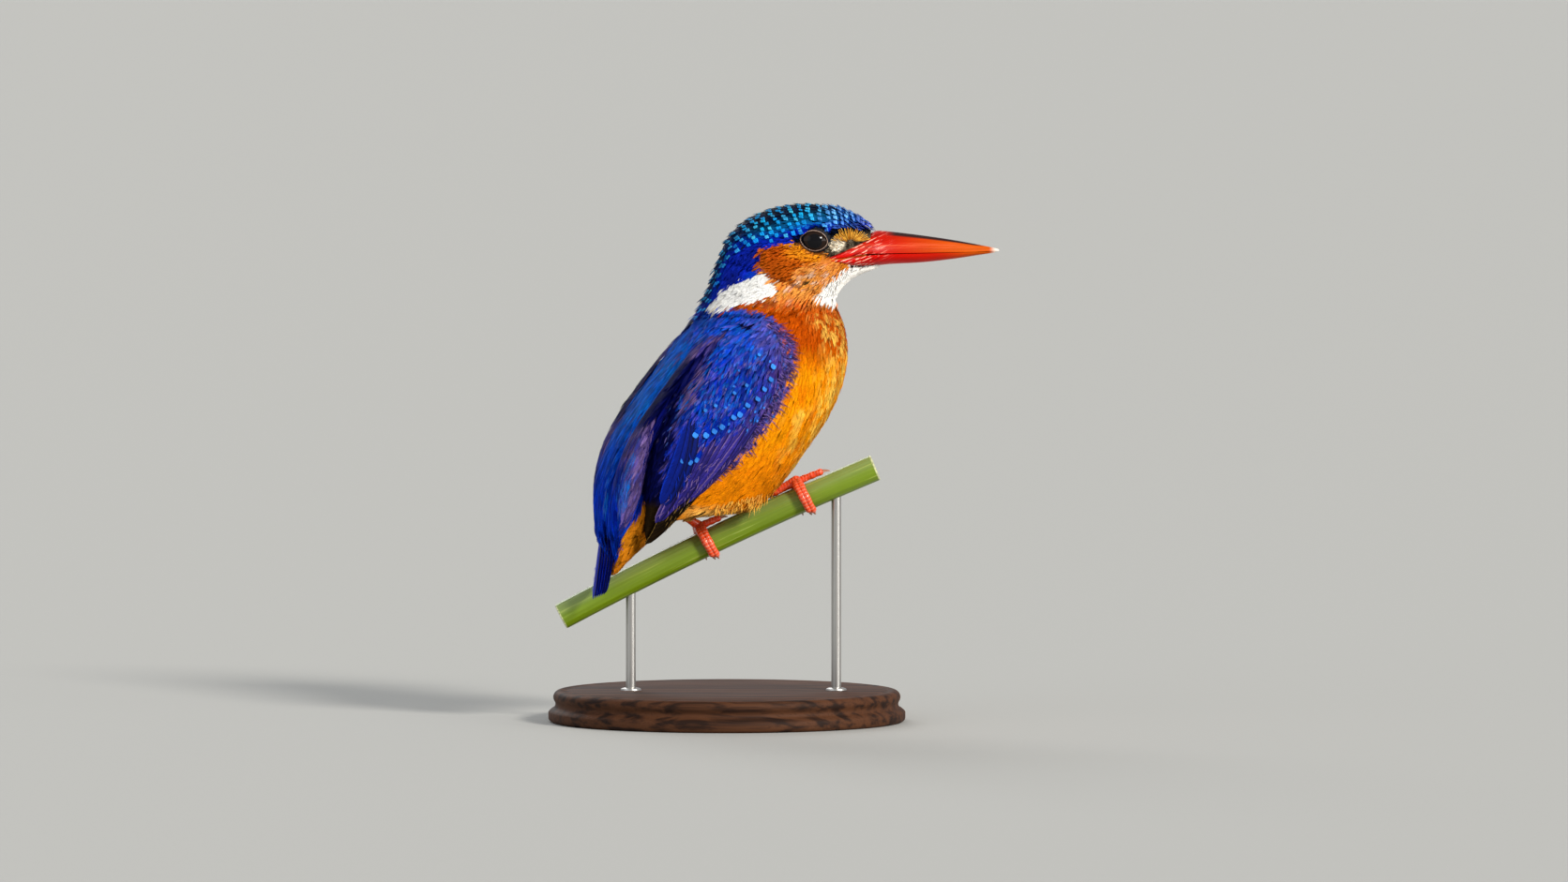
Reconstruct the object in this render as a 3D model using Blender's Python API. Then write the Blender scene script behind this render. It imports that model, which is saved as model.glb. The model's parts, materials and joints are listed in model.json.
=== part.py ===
"""A malachite kingfisher perched on a cut length of green stem, as a still, life-size model
on a small display stand.

Frame: +X is where the bill points, +Y is the bird's left, +Z is up. The origin is the middle
of the stand's underside. Lengths are in metres; MM turns millimetres into metres.

The bird stands on the stem with its trunk turned a little to its left and its head turned
back again, so a ring of the body is written as it looks from the bird's right side, and
bird_point() places it in the round.
"""

import math

import bmesh
import bpy
from mathutils import Matrix, Vector

MM = 0.001
GAP = 0.3 * MM  # between pieces that meet
SLIVER = 0.04 * MM  # points of a cut closer than this become one

# The body
TRUNK_TURN = math.radians(14.0)  # the trunk's heading, left of +X
PIVOT_X = 5.0 * MM  # the upright line about which trunk and head are turned
BODY_SIDES = 22
RING_STEPS = 2  # rings made between two that are written

# The eyes
EYE_RADIUS = 3.1 * MM
EYE_CENTRE = Vector((20.0, 7.35, 107.5)) * MM  # the left one; the right is its mirror

# The stem
STEM_RADIUS = 2.95 * MM
STEM_MIDDLE = Vector((-1.9, 0.0, 41.1)) * MM
STEM_SLOPE = math.radians(25.4)
STEM_BEND_RADIUS = 0.75  # its slope eases as it rises
STEM_HALF_LENGTH = 39.0 * MM
STEM_CORNERS = 3
STEM_CORNER_HEIGHT = 0.05  # of its radius

# The feet
TOE_RADIUS = 0.75 * MM
TOE_TIP_RADIUS = 0.58 * MM
TARSUS_RADIUS = 0.95 * MM
HUB_RADIUS = 1.25 * MM
CLAW_LENGTH = 1.9 * MM
CLAW_RADIUS = 0.5 * MM
CLAW_TIP_RADIUS = 0.26 * MM
FOOT_X = {"right": -4.4 * MM, "left": 17.3 * MM}
TOE_REACH = {"right": 4.2 * MM, "left": 5.2 * MM}  # the toe that points along the stem
ANKLE = {
    "right": Vector((-9.4, -2.0, 46.2)) * MM,
    "left": Vector((10.6, 0.6, 51.4)) * MM,
}
HIP = {
    "right": Vector((-6.0, -8.5, 54.0)) * MM,
    "left": Vector((5.0, 6.0, 57.0)) * MM,
}

# The stand
BASE_RADIUS = 40.0 * MM
BASE_HEIGHT = 7.0 * MM
BASE_SIDES = 32
BASE_X = 0.0
ROD_RADIUS = 1.1 * MM
ROD_X = {"rear": -21.5 * MM, "front": 24.5 * MM}
ROD_SINK = 4.0 * MM  # how far a rod goes into the base
ROD_INTO_STEM = 2.0 * MM


def mm(*values):
    return [value * MM for value in values]


class Ring:
    """One cross-section, written as it looks from the side: its two ends, its half-width
    across the bird, how far along it is widest, its squareness, its distance from the
    middle of the bird, and the share of the trunk's turn that it takes."""

    def __init__(self, first, last, half, widest=0.5, square=2.0, aside=0.0, turn=1.0):
        self.values = [*mm(*first, *last, half, aside), widest, square, turn]


def between(rings, index, share):
    """The values of a ring a share of the way from one ring to the next, on a smooth curve."""
    before = rings[max(index - 1, 0)].values
    start = rings[index].values
    end = rings[index + 1].values
    after = rings[min(index + 2, len(rings) - 1)].values
    found = []
    for a, b, c, d in zip(before, start, end, after):
        curve = 2 * b + (c - a) * share + (2 * a - 5 * b + 4 * c - d) * share**2
        found.append(0.5 * (curve + (3 * b - a - 3 * c + d) * share**3))
    return found


def bird_point(x, z, aside, turn):
    """A point at x and z in the side view and this far to the bird's left, in the round."""
    heading = TRUNK_TURN * turn
    return Vector((
        x - aside * math.sin(heading),
        (x - PIVOT_X) * math.tan(heading) + aside * math.cos(heading),
        z,
    ))


def ring_points(values, sides):
    """The points round one ring, from its first end round the bird's left."""
    first_x, first_z, last_x, last_z, half, aside, widest, square, turn = values
    points = []
    for step in range(sides):
        angle = 2 * math.pi * step / sides
        up, out = math.cos(angle), math.sin(angle)
        up = math.copysign(abs(up) ** (2 / square), up)
        out = math.copysign(abs(out) ** (2 / square), out)
        share = widest * (1 - up) if up > 0 else widest - up * (1 - widest)
        x = first_x + (last_x - first_x) * share
        z = first_z + (last_z - first_z) * share
        points.append(bird_point(x, z, aside + out * half, turn))
    return points


def collection_named(name):
    made = bpy.data.collections.new(name)
    bpy.context.scene.collection.children.link(made)
    return made


def material(name, colour, roughness, metallic=0.0):
    made = bpy.data.materials.new(name)
    made.use_nodes = True
    shader = made.node_tree.nodes["Principled BSDF"]
    shader.inputs["Base Color"].default_value = (*colour, 1.0)
    shader.inputs["Roughness"].default_value = roughness
    shader.inputs["Metallic"].default_value = metallic
    return made


def object_from(bm, name, finish, group):
    """A new object with this mesh; a group of cutters takes no finish."""
    mesh = bpy.data.meshes.new(name)
    bmesh.ops.recalc_face_normals(bm, faces=bm.faces)
    bm.to_mesh(mesh)
    bm.free()
    made = bpy.data.objects.new(name, mesh)
    group.objects.link(made)
    if finish:
        made.data.materials.append(finish)
        made.data.shade_smooth()
        made.data.set_sharp_from_angle(angle=math.radians(40))
    else:
        made.hide_render = True
        made.display_type = "WIRE"
    return made


def loft_mesh(rings, sides, grow=0.0, steps=RING_STEPS):
    """A closed surface through the rings, swollen by grow."""
    bm = bmesh.new()
    loops = []
    for index in range(len(rings) - 1):
        for step in range(steps):
            values = between(rings, index, step / steps)
            loops.append([bm.verts.new(p) for p in ring_points(values, sides)])
    loops.append([bm.verts.new(p) for p in ring_points(rings[-1].values, sides)])
    for near, far in zip(loops, loops[1:]):
        for side in range(sides):
            after = (side + 1) % sides
            bm.faces.new((near[side], near[after], far[after], far[side]))
    bm.faces.new(loops[0])
    bm.faces.new(loops[-1])
    bmesh.ops.recalc_face_normals(bm, faces=bm.faces)
    bm.normal_update()
    if grow:
        moves = [(vert, vert.normal * grow) for vert in bm.verts]
        for vert, move in moves:
            vert.co += move
    return bm


def mirrored(rings):
    """The same rings on the bird's other side."""
    made = []
    for ring in rings:
        copy = Ring((0, 0), (0, 0), 0)
        copy.values = list(ring.values)
        copy.values[5] = -copy.values[5]
        made.append(copy)
    return made


def boolean(target, other, operation="DIFFERENCE"):
    modifier = target.modifiers.new(f"{operation.title()} {other.name}", "BOOLEAN")
    modifier.operation = operation
    modifier.solver = "EXACT"
    modifier.object = other


def settle(target):
    """Applies the Booleans and keeps only the largest body that they leave."""
    bpy.context.view_layer.update()
    evaluated = target.evaluated_get(bpy.context.evaluated_depsgraph_get())
    mesh = bpy.data.meshes.new_from_object(evaluated)
    target.modifiers.clear()
    bm = bmesh.new()
    bm.from_mesh(mesh)
    left = set(bm.verts)
    largest = set()
    while left:
        found, edge = set(), [next(iter(left))]
        while edge:
            vert = edge.pop()
            if vert in found:
                continue
            found.add(vert)
            edge.extend(link.other_vert(vert) for link in vert.link_edges)
        left -= found
        if len(found) > len(largest):
            largest = found
    bmesh.ops.delete(bm, geom=[v for v in bm.verts if v not in largest], context="VERTS")
    bmesh.ops.triangulate(bm, faces=bm.faces)
    bmesh.ops.remove_doubles(bm, verts=bm.verts, dist=SLIVER)
    bmesh.ops.dissolve_degenerate(bm, edges=bm.edges, dist=SLIVER / 2)
    bmesh.ops.triangulate(bm, faces=bm.faces)
    bm.to_mesh(target.data)
    bm.free()
    bpy.data.meshes.remove(mesh)


def slab(bm, point, normal, keep_front):
    """Cuts a closed mesh with a plane, keeps one side and closes the cut."""
    geometry = bm.verts[:] + bm.edges[:] + bm.faces[:]
    cut = bmesh.ops.bisect_plane(
        bm, geom=geometry, plane_co=point, plane_no=normal,
        clear_inner=keep_front, clear_outer=not keep_front,
    )
    edges = [e for e in cut["geom_cut"] if isinstance(e, bmesh.types.BMEdge)]
    bmesh.ops.triangle_fill(bm, edges=edges, use_beauty=True, normal=normal)


# Head, neck, trunk and tail coverts are one smooth form, parted by three thin cuts.
# Each ring runs from the crown, nape and back to the throat, breast and belly.
BODY_RINGS = [
    Ring((34.0, 109.0), (35.8, 102.4), 3.4, 0.55, turn=0.0),
    Ring((29.4, 112.4), (31.0, 101.4), 6.0, 0.56, turn=0.0),
    Ring((24.6, 115.0), (27.4, 99.7), 8.4, 0.55, 2.1, turn=0.0),
    Ring((18.3, 116.1), (25.3, 97.4), 9.9, 0.54, 2.1, turn=0.02),
    Ring((11.6, 115.5), (24.5, 95.7), 10.7, 0.50, 2.1, turn=0.05),
    Ring((5.3, 113.2), (24.3, 94.6), 11.0, 0.48, 2.1, turn=0.1),
    Ring((0.6, 109.2), (24.4, 93.8), 11.0, 0.47, 2.1, turn=0.2),
    Ring((-1.9, 103.8), (24.8, 92.8), 10.9, 0.47, 2.1, turn=0.4),
    Ring((-3.9, 98.0), (25.3, 91.4), 11.4, 0.47, 2.1, turn=0.6),
    Ring((-6.4, 92.3), (26.0, 89.4), 13.0, 0.45, 2.2, turn=0.8),
    Ring((-10.2, 86.4), (26.5, 86.3), 14.6, 0.44, 2.3, turn=0.95),
    Ring((-15.2, 79.0), (26.7, 81.7), 15.8, 0.44, 2.3),
    Ring((-20.8, 71.2), (25.5, 75.2), 16.3, 0.46, 2.3),
    Ring((-25.6, 63.4), (22.2, 68.0), 16.2, 0.50, 2.3),
    Ring((-28.6, 56.5), (17.4, 60.9), 15.0, 0.53, 2.3),
    Ring((-29.7, 51.0), (12.2, 53.6), 12.9, 0.56, 2.2),
    Ring((-29.6, 46.2), (4.6, 47.0), 10.6, 0.54, 2.1),
    Ring((-29.0, 42.0), (-9.5, 47.0), 8.4, 0.48, 2.0),
    Ring((-27.8, 38.4), (-17.6, 40.6), 6.4, 0.42, 2.0),
    Ring((-27.2, 35.4), (-22.2, 36.4), 5.0, 0.36, 2.0),
    Ring((-26.8, 33.2), (-25.4, 33.4), 3.8, 0.35, 2.0),
]

# A wing's rings run from its front edge to its back edge, shoulder first. They are the
# right wing's, and the left is its mirror.
WING_RINGS = [
    Ring((8.2, 89.6), (-2.6, 89.9), 1.6, 0.5, 2.4, -11.5),
    Ring((9.6, 87.6), (-5.6, 85.8), 4.2, 0.5, 2.6, -11.2),
    Ring((10.8, 83.4), (-10.8, 79.8), 6.0, 0.5, 2.8, -11.4),
    Ring((9.6, 76.2), (-17.0, 70.6), 7.0, 0.5, 3.0, -11.7),
    Ring((6.4, 68.8), (-20.4, 61.4), 7.0, 0.5, 3.0, -11.5),
    Ring((1.0, 61.6), (-21.4, 53.4), 6.0, 0.5, 3.0, -10.9),
    Ring((-5.2, 55.0), (-21.2, 47.8), 4.4, 0.5, 2.8, -10.4),
    Ring((-11.4, 49.0), (-21.4, 43.6), 2.6, 0.5, 2.6, -9.9),
    Ring((-16.4, 44.2), (-21.0, 41.2), 1.2, 0.5, 2.4, -9.3),
    Ring((-19.0, 41.2), (-20.4, 40.2), 0.5, 0.5, 2.0, -9.0),
]

# The long feathers of the shoulder lie over the wing's back edge, down to the rump.
SCAPULAR_RINGS = [
    Ring((1.4, 90.2), (-3.0, 91.0), 1.0, 0.5, 2.2, -9.0),
    Ring((-2.6, 86.6), (-8.0, 86.8), 3.2, 0.45, 2.4, -9.8),
    Ring((-8.2, 81.2), (-13.6, 79.6), 4.4, 0.45, 2.6, -10.8),
    Ring((-14.9, 73.8), (-19.6, 71.2), 5.2, 0.45, 2.6, -11.0),
    Ring((-19.0, 65.4), (-24.4, 63.2), 5.4, 0.45, 2.6, -10.4),
    Ring((-20.8, 57.4), (-27.0, 56.0), 5.0, 0.45, 2.6, -9.2),
    Ring((-21.8, 50.0), (-27.8, 50.0), 4.2, 0.45, 2.5, -7.8),
    Ring((-23.4, 44.2), (-28.0, 45.0), 3.0, 0.45, 2.4, -6.2),
    Ring((-24.8, 40.8), (-27.8, 41.6), 1.4, 0.5, 2.2, -5.4),
]

# The tail's closed fan of feathers, from its upper face to its under face.
TAIL_RINGS = [
    Ring((-27.9, 42.0), (-25.0, 41.4), 4.4, 0.5, 2.6),
    Ring((-28.2, 38.0), (-25.6, 37.6), 4.9, 0.5, 2.8),
    Ring((-28.7, 34.2), (-26.5, 33.9), 5.0, 0.5, 2.8),
    Ring((-29.5, 30.4), (-27.8, 30.2), 4.6, 0.5, 2.8),
    Ring((-29.9, 28.4), (-28.8, 28.3), 3.6, 0.5, 2.6),
]

# The bill's rings run down each half, from under the eye to the tip.
UPPER_BILL_RINGS = [
    Ring((22.6, 104.0), (22.9, 103.2), 8.3, 0.7, 2.0, turn=0.0),
    Ring((26.4, 106.2), (26.4, 103.9), 6.9, 0.75, 1.9, turn=0.0),
    Ring((29.6, 108.2), (29.6, 104.4), 5.7, 0.8, 1.8, turn=0.0),
    Ring((33.0, 110.0), (33.0, 104.8), 4.7, 0.85, 1.7, turn=0.0),
    Ring((37.0, 109.8), (37.0, 105.0), 3.9, 0.85, 1.7, turn=0.0),
    Ring((43.6, 109.0), (43.6, 105.1), 2.9, 0.85, 1.7, turn=0.0),
    Ring((50.4, 108.0), (50.4, 105.2), 2.0, 0.85, 1.7, turn=0.0),
    Ring((56.4, 106.9), (56.4, 105.3), 1.2, 0.8, 1.8, turn=0.0),
    Ring((60.9, 105.9), (60.9, 105.35), 0.35, 0.6, 2.0, turn=0.0),
]
LOWER_BILL_RINGS = [
    Ring((23.6, 102.9), (23.8, 102.2), 7.8, 0.4, 2.0, turn=0.0),
    Ring((27.4, 103.7), (27.4, 101.9), 6.4, 0.3, 1.9, turn=0.0),
    Ring((32.6, 104.3), (32.6, 102.2), 4.7, 0.25, 1.8, turn=0.0),
    Ring((37.0, 104.6), (37.0, 102.6), 3.8, 0.2, 1.8, turn=0.0),
    Ring((43.6, 104.75), (43.6, 102.9), 2.8, 0.2, 1.8, turn=0.0),
    Ring((50.4, 104.8), (50.4, 103.6), 1.9, 0.2, 1.8, turn=0.0),
    Ring((55.6, 104.85), (55.6, 104.3), 1.1, 0.3, 1.8, turn=0.0),
]

# Where the body is parted: a point of each cut and the direction in which the rear lies.
HEAD_CUT = (Vector((25.2, 0.0, 93.6)) * MM, Vector((-0.35, 0.0, -0.94)))
NECK_CUT = (Vector((25.8, 0.0, 91.0)) * MM, Vector((0.02, 0.0, -1.0)))
VENT_CUT = (Vector((-8.0, 0.0, 47.0)) * MM, Vector((-0.62, 0.0, -0.78)))


def stem_frame(x):
    """The stem's centre at this x, its direction and its upward normal."""
    slope = STEM_SLOPE - (x - STEM_MIDDLE.x) / STEM_BEND_RADIUS
    rise = (x - STEM_MIDDLE.x) * math.tan((STEM_SLOPE + slope) / 2)
    along = Vector((math.cos(slope), 0.0, math.sin(slope)))
    up = Vector((-along.z, 0.0, along.x))
    return Vector((x, 0.0, STEM_MIDDLE.z + rise)), along, up


def on_stem(x, angle, above):
    """A point this far above the stem's skin, this far round from its top to the bird's right."""
    centre, _, up = stem_frame(x)
    right = Vector((0.0, -1.0, 0.0))
    out = up * math.cos(angle) + right * math.sin(angle)
    return centre + out * (STEM_RADIUS * (1 + STEM_CORNER_HEIGHT) + above)


def build_body(group, cutters, finishes):
    """Head, neck, trunk and tail coverts, and the swollen body that cuts what lies on it."""
    head_at, head_down = HEAD_CUT
    neck_at, neck_down = NECK_CUT
    vent_at, vent_down = VENT_CUT
    step = GAP / 2
    cuts = {
        "head": [(head_at - head_down * step, head_down, False)],
        "neck": [
            (head_at + head_down * step, head_down, True),
            (neck_at - neck_down * step, neck_down, False),
        ],
        "trunk": [
            (neck_at + neck_down * step, neck_down, True),
            (vent_at - vent_down * step, vent_down, False),
        ],
        "tail_coverts": [(vent_at + vent_down * step, vent_down, True)],
    }
    made = {}
    for name, planes in cuts.items():
        bm = loft_mesh(BODY_RINGS, BODY_SIDES)
        for point, normal, keep_front in planes:
            slab(bm, point, normal, keep_front)
        made[name] = object_from(bm, name, finishes[name], group)
    swollen = loft_mesh(BODY_RINGS, BODY_SIDES, GAP)
    made["swollen"] = object_from(swollen, "cut_body", None, cutters)
    return made


def build_bill(group, cutters, finishes, head):
    for name, rings in (("bill_upper", UPPER_BILL_RINGS), ("bill_lower", LOWER_BILL_RINGS)):
        bm = loft_mesh(rings, 14, steps=1)
        object_from(bm, name, finishes["bill"], group)
        grown = loft_mesh(rings, 14, GAP, steps=1)
        boolean(head, object_from(grown, f"cut_{name}", None, cutters))


def ball(name, radius, centre, finish, group, segments=16):
    bm = bmesh.new()
    bmesh.ops.create_uvsphere(bm, u_segments=segments, v_segments=segments // 2, radius=radius)
    # The poles look fore and aft, so that the pupil's side is even.
    bmesh.ops.rotate(bm, verts=bm.verts, cent=(0, 0, 0), matrix=Matrix.Rotation(math.pi / 2, 3, "X"))
    made = object_from(bm, name, finish, group)
    made.location = centre
    return made


def build_eyes(group, cutters, finishes, head):
    for side, sign in (("left", 1), ("right", -1)):
        centre = Vector((EYE_CENTRE.x, sign * EYE_CENTRE.y, EYE_CENTRE.z))
        ball(f"eye_{side}", EYE_RADIUS, centre, finishes["eye"], group)
        boolean(head, ball(f"cut_eye_{side}", EYE_RADIUS + GAP, centre, None, cutters))


def build_wings(group, cutters, finishes, swollen):
    """Each wing and its shoulder feathers, cut to lie on the body."""
    for side in ("right", "left"):
        wing_rings = WING_RINGS if side == "right" else mirrored(WING_RINGS)
        cape_rings = SCAPULAR_RINGS if side == "right" else mirrored(SCAPULAR_RINGS)
        cape = object_from(
            loft_mesh(cape_rings, 14, steps=2), f"scapulars_{side}", finishes["back"], group
        )
        boolean(cape, swollen)
        wing = object_from(loft_mesh(wing_rings, 16, steps=2), f"wing_{side}", finishes["wing"], group)
        boolean(wing, swollen)
        grown = loft_mesh(cape_rings, 14, GAP, steps=2)
        boolean(wing, object_from(grown, f"cut_scapulars_{side}", None, cutters))


def build_tail(group, cutters, finishes, coverts):
    object_from(loft_mesh(TAIL_RINGS, 16, steps=2), "tail", finishes["tail"], group)
    grown = loft_mesh(TAIL_RINGS, 16, GAP, steps=2)
    boolean(coverts, object_from(grown, "cut_tail", None, cutters))


def tube_mesh(points, radii, sides=8):
    """A closed tube along a line of points, with a radius at each."""
    curve = bpy.data.curves.new("tube", "CURVE")
    curve.dimensions = "3D"
    curve.bevel_depth = 1.0
    curve.bevel_resolution = (sides - 4) // 2
    curve.use_fill_caps = True
    spline = curve.splines.new("POLY")
    spline.points.add(len(points) - 1)
    for point, at, radius in zip(spline.points, points, radii):
        point.co = (*at, 1.0)
        point.radius = radius
    guide = bpy.data.objects.new("tube", curve)
    bpy.context.scene.collection.objects.link(guide)
    bpy.context.view_layer.update()
    evaluated = guide.evaluated_get(bpy.context.evaluated_depsgraph_get())
    mesh = bpy.data.meshes.new_from_object(evaluated)
    bm = bmesh.new()
    bm.from_mesh(mesh)
    bmesh.ops.remove_doubles(bm, verts=bm.verts, dist=0.01 * MM)
    bpy.data.objects.remove(guide)
    bpy.data.curves.remove(curve)
    bpy.data.meshes.remove(mesh)
    return bm


def tapered(start, end, count):
    return [start + (end - start) * index / (count - 1) for index in range(count)]


def toe_path(x_start, x_end, angle_start, angle_end, count=7):
    """A line round or along the stem, a toe's radius above it."""
    xs = tapered(x_start, x_end, count)
    angles = tapered(angle_start, angle_end, count)
    above = GAP + TOE_RADIUS
    return [on_stem(x, angle, above) for x, angle in zip(xs, angles)]


def claw_path(toe, count=4):
    """A claw's curved line, from just past the end of a toe's line, bending to the stem."""
    end, way = toe[-1], (toe[-1] - toe[-2]).normalized()
    centre, along, _ = stem_frame(end.x)
    inward = centre - end
    inward = (inward - along * inward.dot(along)).normalized()
    start = end + way * (GAP + 0.02 * MM)
    points = []
    for step in range(count):
        share = step / (count - 1)
        points.append(start + way * CLAW_LENGTH * share + inward * 0.35 * MM * share**2)
    return points


def build_foot(side, group, finishes):
    """Tarsus, toes and claws: two joined toes and a claw each on the stem's right side, one
    toe along it towards the bill, and the hind toe down its left side."""
    x = FOOT_X[side]
    pair = 0.66 * MM
    top = 0.0
    toes = {
        "outer": toe_path(x - pair, x - pair + 0.5 * MM, top, math.radians(124)),
        "middle": toe_path(x + pair, x + pair + 0.5 * MM, top, math.radians(132)),
        "inner": toe_path(x, x + TOE_REACH[side], top, math.radians(12), 5),
        "hind": toe_path(x - 0.6 * MM, x - 1.4 * MM, math.radians(-6), math.radians(-112)),
    }
    ankle = ANKLE[side]
    hub = on_stem(x, top, GAP + TARSUS_RADIUS)
    shin = [hub + (ankle - hub) * share for share in tapered(0.0, 1.0, 5)]
    tarsus = tube_mesh(shin, [TARSUS_RADIUS] * len(shin), 10)
    foot = object_from(tarsus, f"foot_{side}", finishes["foot"], group)
    cutters = bpy.data.collections["cutters"]
    knuckle = on_stem(x, top, GAP + HUB_RADIUS)
    boolean(foot, ball(f"join_{side}_hub", HUB_RADIUS, knuckle, None, cutters, 12), "UNION")
    for name, path in toes.items():
        radii = tapered(TOE_RADIUS, TOE_TIP_RADIUS, len(path))
        part = object_from(tube_mesh(path, radii), f"join_{side}_{name}", None, cutters)
        boolean(foot, part, "UNION")
        claw = claw_path(path)
        radii = tapered(CLAW_RADIUS, CLAW_TIP_RADIUS, len(claw))
        object_from(tube_mesh(claw, radii, 6), f"claw_{side}_{name}", finishes["claw"], group)


def build_thigh(side, group, cutters, finishes, body):
    """The feathered upper leg, from inside the belly down round the tarsus's upper end."""
    hip, ankle = HIP[side], ANKLE[side]
    end = ankle + (ankle - hip).normalized() * 0.3 * MM
    points = [hip + (end - hip) * share for share in tapered(0.0, 1.0, 7)]
    radii = [radius * MM for radius in (4.6, 5.0, 4.9, 4.4, 3.7, 2.9, 2.1)]
    thigh = object_from(tube_mesh(points, radii, 14), f"thigh_{side}", finishes["belly"], group)
    boolean(thigh, body["swollen"])
    hub = on_stem(FOOT_X[side], 0.0, GAP + TARSUS_RADIUS)
    shin = [hub, ankle + (ankle - hub).normalized() * GAP]
    sheath = tube_mesh(shin, [TARSUS_RADIUS + GAP] * 2, 10)
    sheath = object_from(sheath, f"cut_shin_{side}", None, cutters)
    boolean(thigh, sheath)
    boolean(body["trunk"], sheath)
    boolean(body["tail_coverts"], sheath)


def stem_mesh(grow=0.0):
    """The cut length of stem, a rounded triangle across, with ridges along its corners."""
    bm = bmesh.new()
    sides, count = 18, 9
    loops = []
    for x in tapered(STEM_MIDDLE.x - STEM_HALF_LENGTH * math.cos(STEM_SLOPE),
                     STEM_MIDDLE.x + STEM_HALF_LENGTH * math.cos(STEM_SLOPE), count):
        centre, _, up = stem_frame(x)
        loop = []
        for step in range(sides):
            angle = 2 * math.pi * step / sides
            radius = STEM_RADIUS * (1 + STEM_CORNER_HEIGHT * math.cos(STEM_CORNERS * angle)) + grow
            out = up * math.cos(angle) + Vector((0, -1, 0)) * math.sin(angle)
            loop.append(bm.verts.new(centre + out * radius))
        loops.append(loop)
    for near, far in zip(loops, loops[1:]):
        for side in range(sides):
            after = (side + 1) % sides
            bm.faces.new((near[side], near[after], far[after], far[side]))
    bm.faces.new(loops[0])
    bm.faces.new(loops[-1])
    return bm


def cylinder(name, radius, low, high, x, finish, group, segments=16):
    bm = bmesh.new()
    bmesh.ops.create_cone(
        bm, cap_ends=True, segments=segments, radius1=radius, radius2=radius, depth=high - low
    )
    made = object_from(bm, name, finish, group)
    made.location = (x, 0.0, (low + high) / 2)
    return made


def build_stand(group, cutters, finishes, stem):
    """A turned round base, and two rods that go up into the stem."""
    # The edge of the base from its foot up, as radius and height: a bead over a cove.
    profile = [(0.0, 0.0), (39.2, 0.0), (40.0, 0.8), (40.0, 2.2), (39.3, 3.1)]
    bead = [
        (37.4 + 1.5 * math.cos(math.radians(a)), 5.5 + 1.5 * math.sin(math.radians(a)))
        for a in range(-45, 91, 45)
    ]
    profile += [(38.3, 3.6), *bead, (0.0, BASE_HEIGHT / MM)]
    bm = bmesh.new()
    verts = [bm.verts.new((r * MM, 0.0, z * MM)) for r, z in profile]
    for a, b in zip(verts, verts[1:]):
        bm.edges.new((a, b))
    bmesh.ops.spin(
        bm, geom=bm.verts[:] + bm.edges[:], cent=(0, 0, 0), axis=(0, 0, 1),
        angle=2 * math.pi, steps=BASE_SIDES, use_merge=True, use_duplicate=False,
    )
    bmesh.ops.remove_doubles(bm, verts=bm.verts, dist=0.01 * MM)
    base = object_from(bm, "stand_base", finishes["base"], group)
    base.location = (BASE_X, 0.0, 0.0)
    for end, x in ROD_X.items():
        low = BASE_HEIGHT - ROD_SINK
        high = stem_frame(x)[0].z - STEM_RADIUS + ROD_INTO_STEM
        cylinder(f"stand_rod_{end}", ROD_RADIUS, low, high, x, finishes["rod"], group, 16)
        hole = cylinder(
            f"cut_rod_{end}", ROD_RADIUS + GAP, low - GAP, high + GAP, x, None, cutters, 16
        )
        boolean(base, hole)
        boolean(stem, hole)


def main():
    for old in list(bpy.data.objects):
        bpy.data.objects.remove(old)
    group = collection_named("kingfisher")
    cutters = collection_named("cutters")
    blue, orange = (0.02, 0.06, 0.45), (0.62, 0.20, 0.02)
    finishes = {
        "head": material("crown_plumage", (0.02, 0.16, 0.42), 0.5),
        "neck": material("neck_plumage", orange, 0.6),
        "trunk": material("breast_plumage", orange, 0.6),
        "belly": material("thigh_plumage", (0.75, 0.45, 0.18), 0.7),
        "tail_coverts": material("covert_plumage", (0.65, 0.25, 0.03), 0.6),
        "back": material("back_plumage", blue, 0.45),
        "wing": material("wing_plumage", (0.05, 0.05, 0.40), 0.45),
        "tail": material("tail_plumage", (0.01, 0.03, 0.25), 0.45),
        "bill": material("bill_horn", (0.75, 0.06, 0.01), 0.3),
        "eye": material("eye_gloss", (0.01, 0.006, 0.004), 0.05),
        "foot": material("foot_skin", (0.70, 0.12, 0.06), 0.4),
        "claw": material("claw_horn", (0.30, 0.08, 0.05), 0.35),
        "stem": material("green_stem", (0.22, 0.32, 0.04), 0.45),
        "base": material("turned_wood", (0.10, 0.05, 0.025), 0.4),
        "rod": material("steel_rod", (0.55, 0.54, 0.52), 0.3, 1.0),
    }
    body = build_body(group, cutters, finishes)
    build_bill(group, cutters, finishes, body["head"])
    build_eyes(group, cutters, finishes, body["head"])
    build_wings(group, cutters, finishes, body["swollen"])
    build_tail(group, cutters, finishes, body["tail_coverts"])
    for side in ("right", "left"):
        build_foot(side, group, finishes)
        build_thigh(side, group, cutters, finishes, body)
    stem = object_from(stem_mesh(), "perch_stem", finishes["stem"], group)
    room = object_from(stem_mesh(GAP), "cut_stem", None, cutters)
    boolean(body["trunk"], room)
    boolean(body["tail_coverts"], room)
    build_stand(group, cutters, finishes, stem)
    for piece in group.objects:
        if piece.modifiers:
            settle(piece)


main()
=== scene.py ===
"""A malachite kingfisher on a cut length of stem, as a life-size museum model: skin, plumage,
bill, eyes, feet, perch, stand and studio.

The solids of the frame give every place and size. Lengths here are in millimetres, and MM
turns them into metres. "Side" coordinates are those in which the bird's outline is drawn: x
towards the bill, z up, and aside, the distance to the bird's left of its own middle. The
trunk is turned a little to the left of the head, and to_side() and from_side() allow for it.
"""

import json
import math

import bpy
import numpy as np
from bpy.props import FloatProperty, FloatVectorProperty, IntProperty, PointerProperty
from bpy.types import Operator, Panel, PropertyGroup
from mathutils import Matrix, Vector
from mathutils.bvhtree import BVHTree

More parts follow.
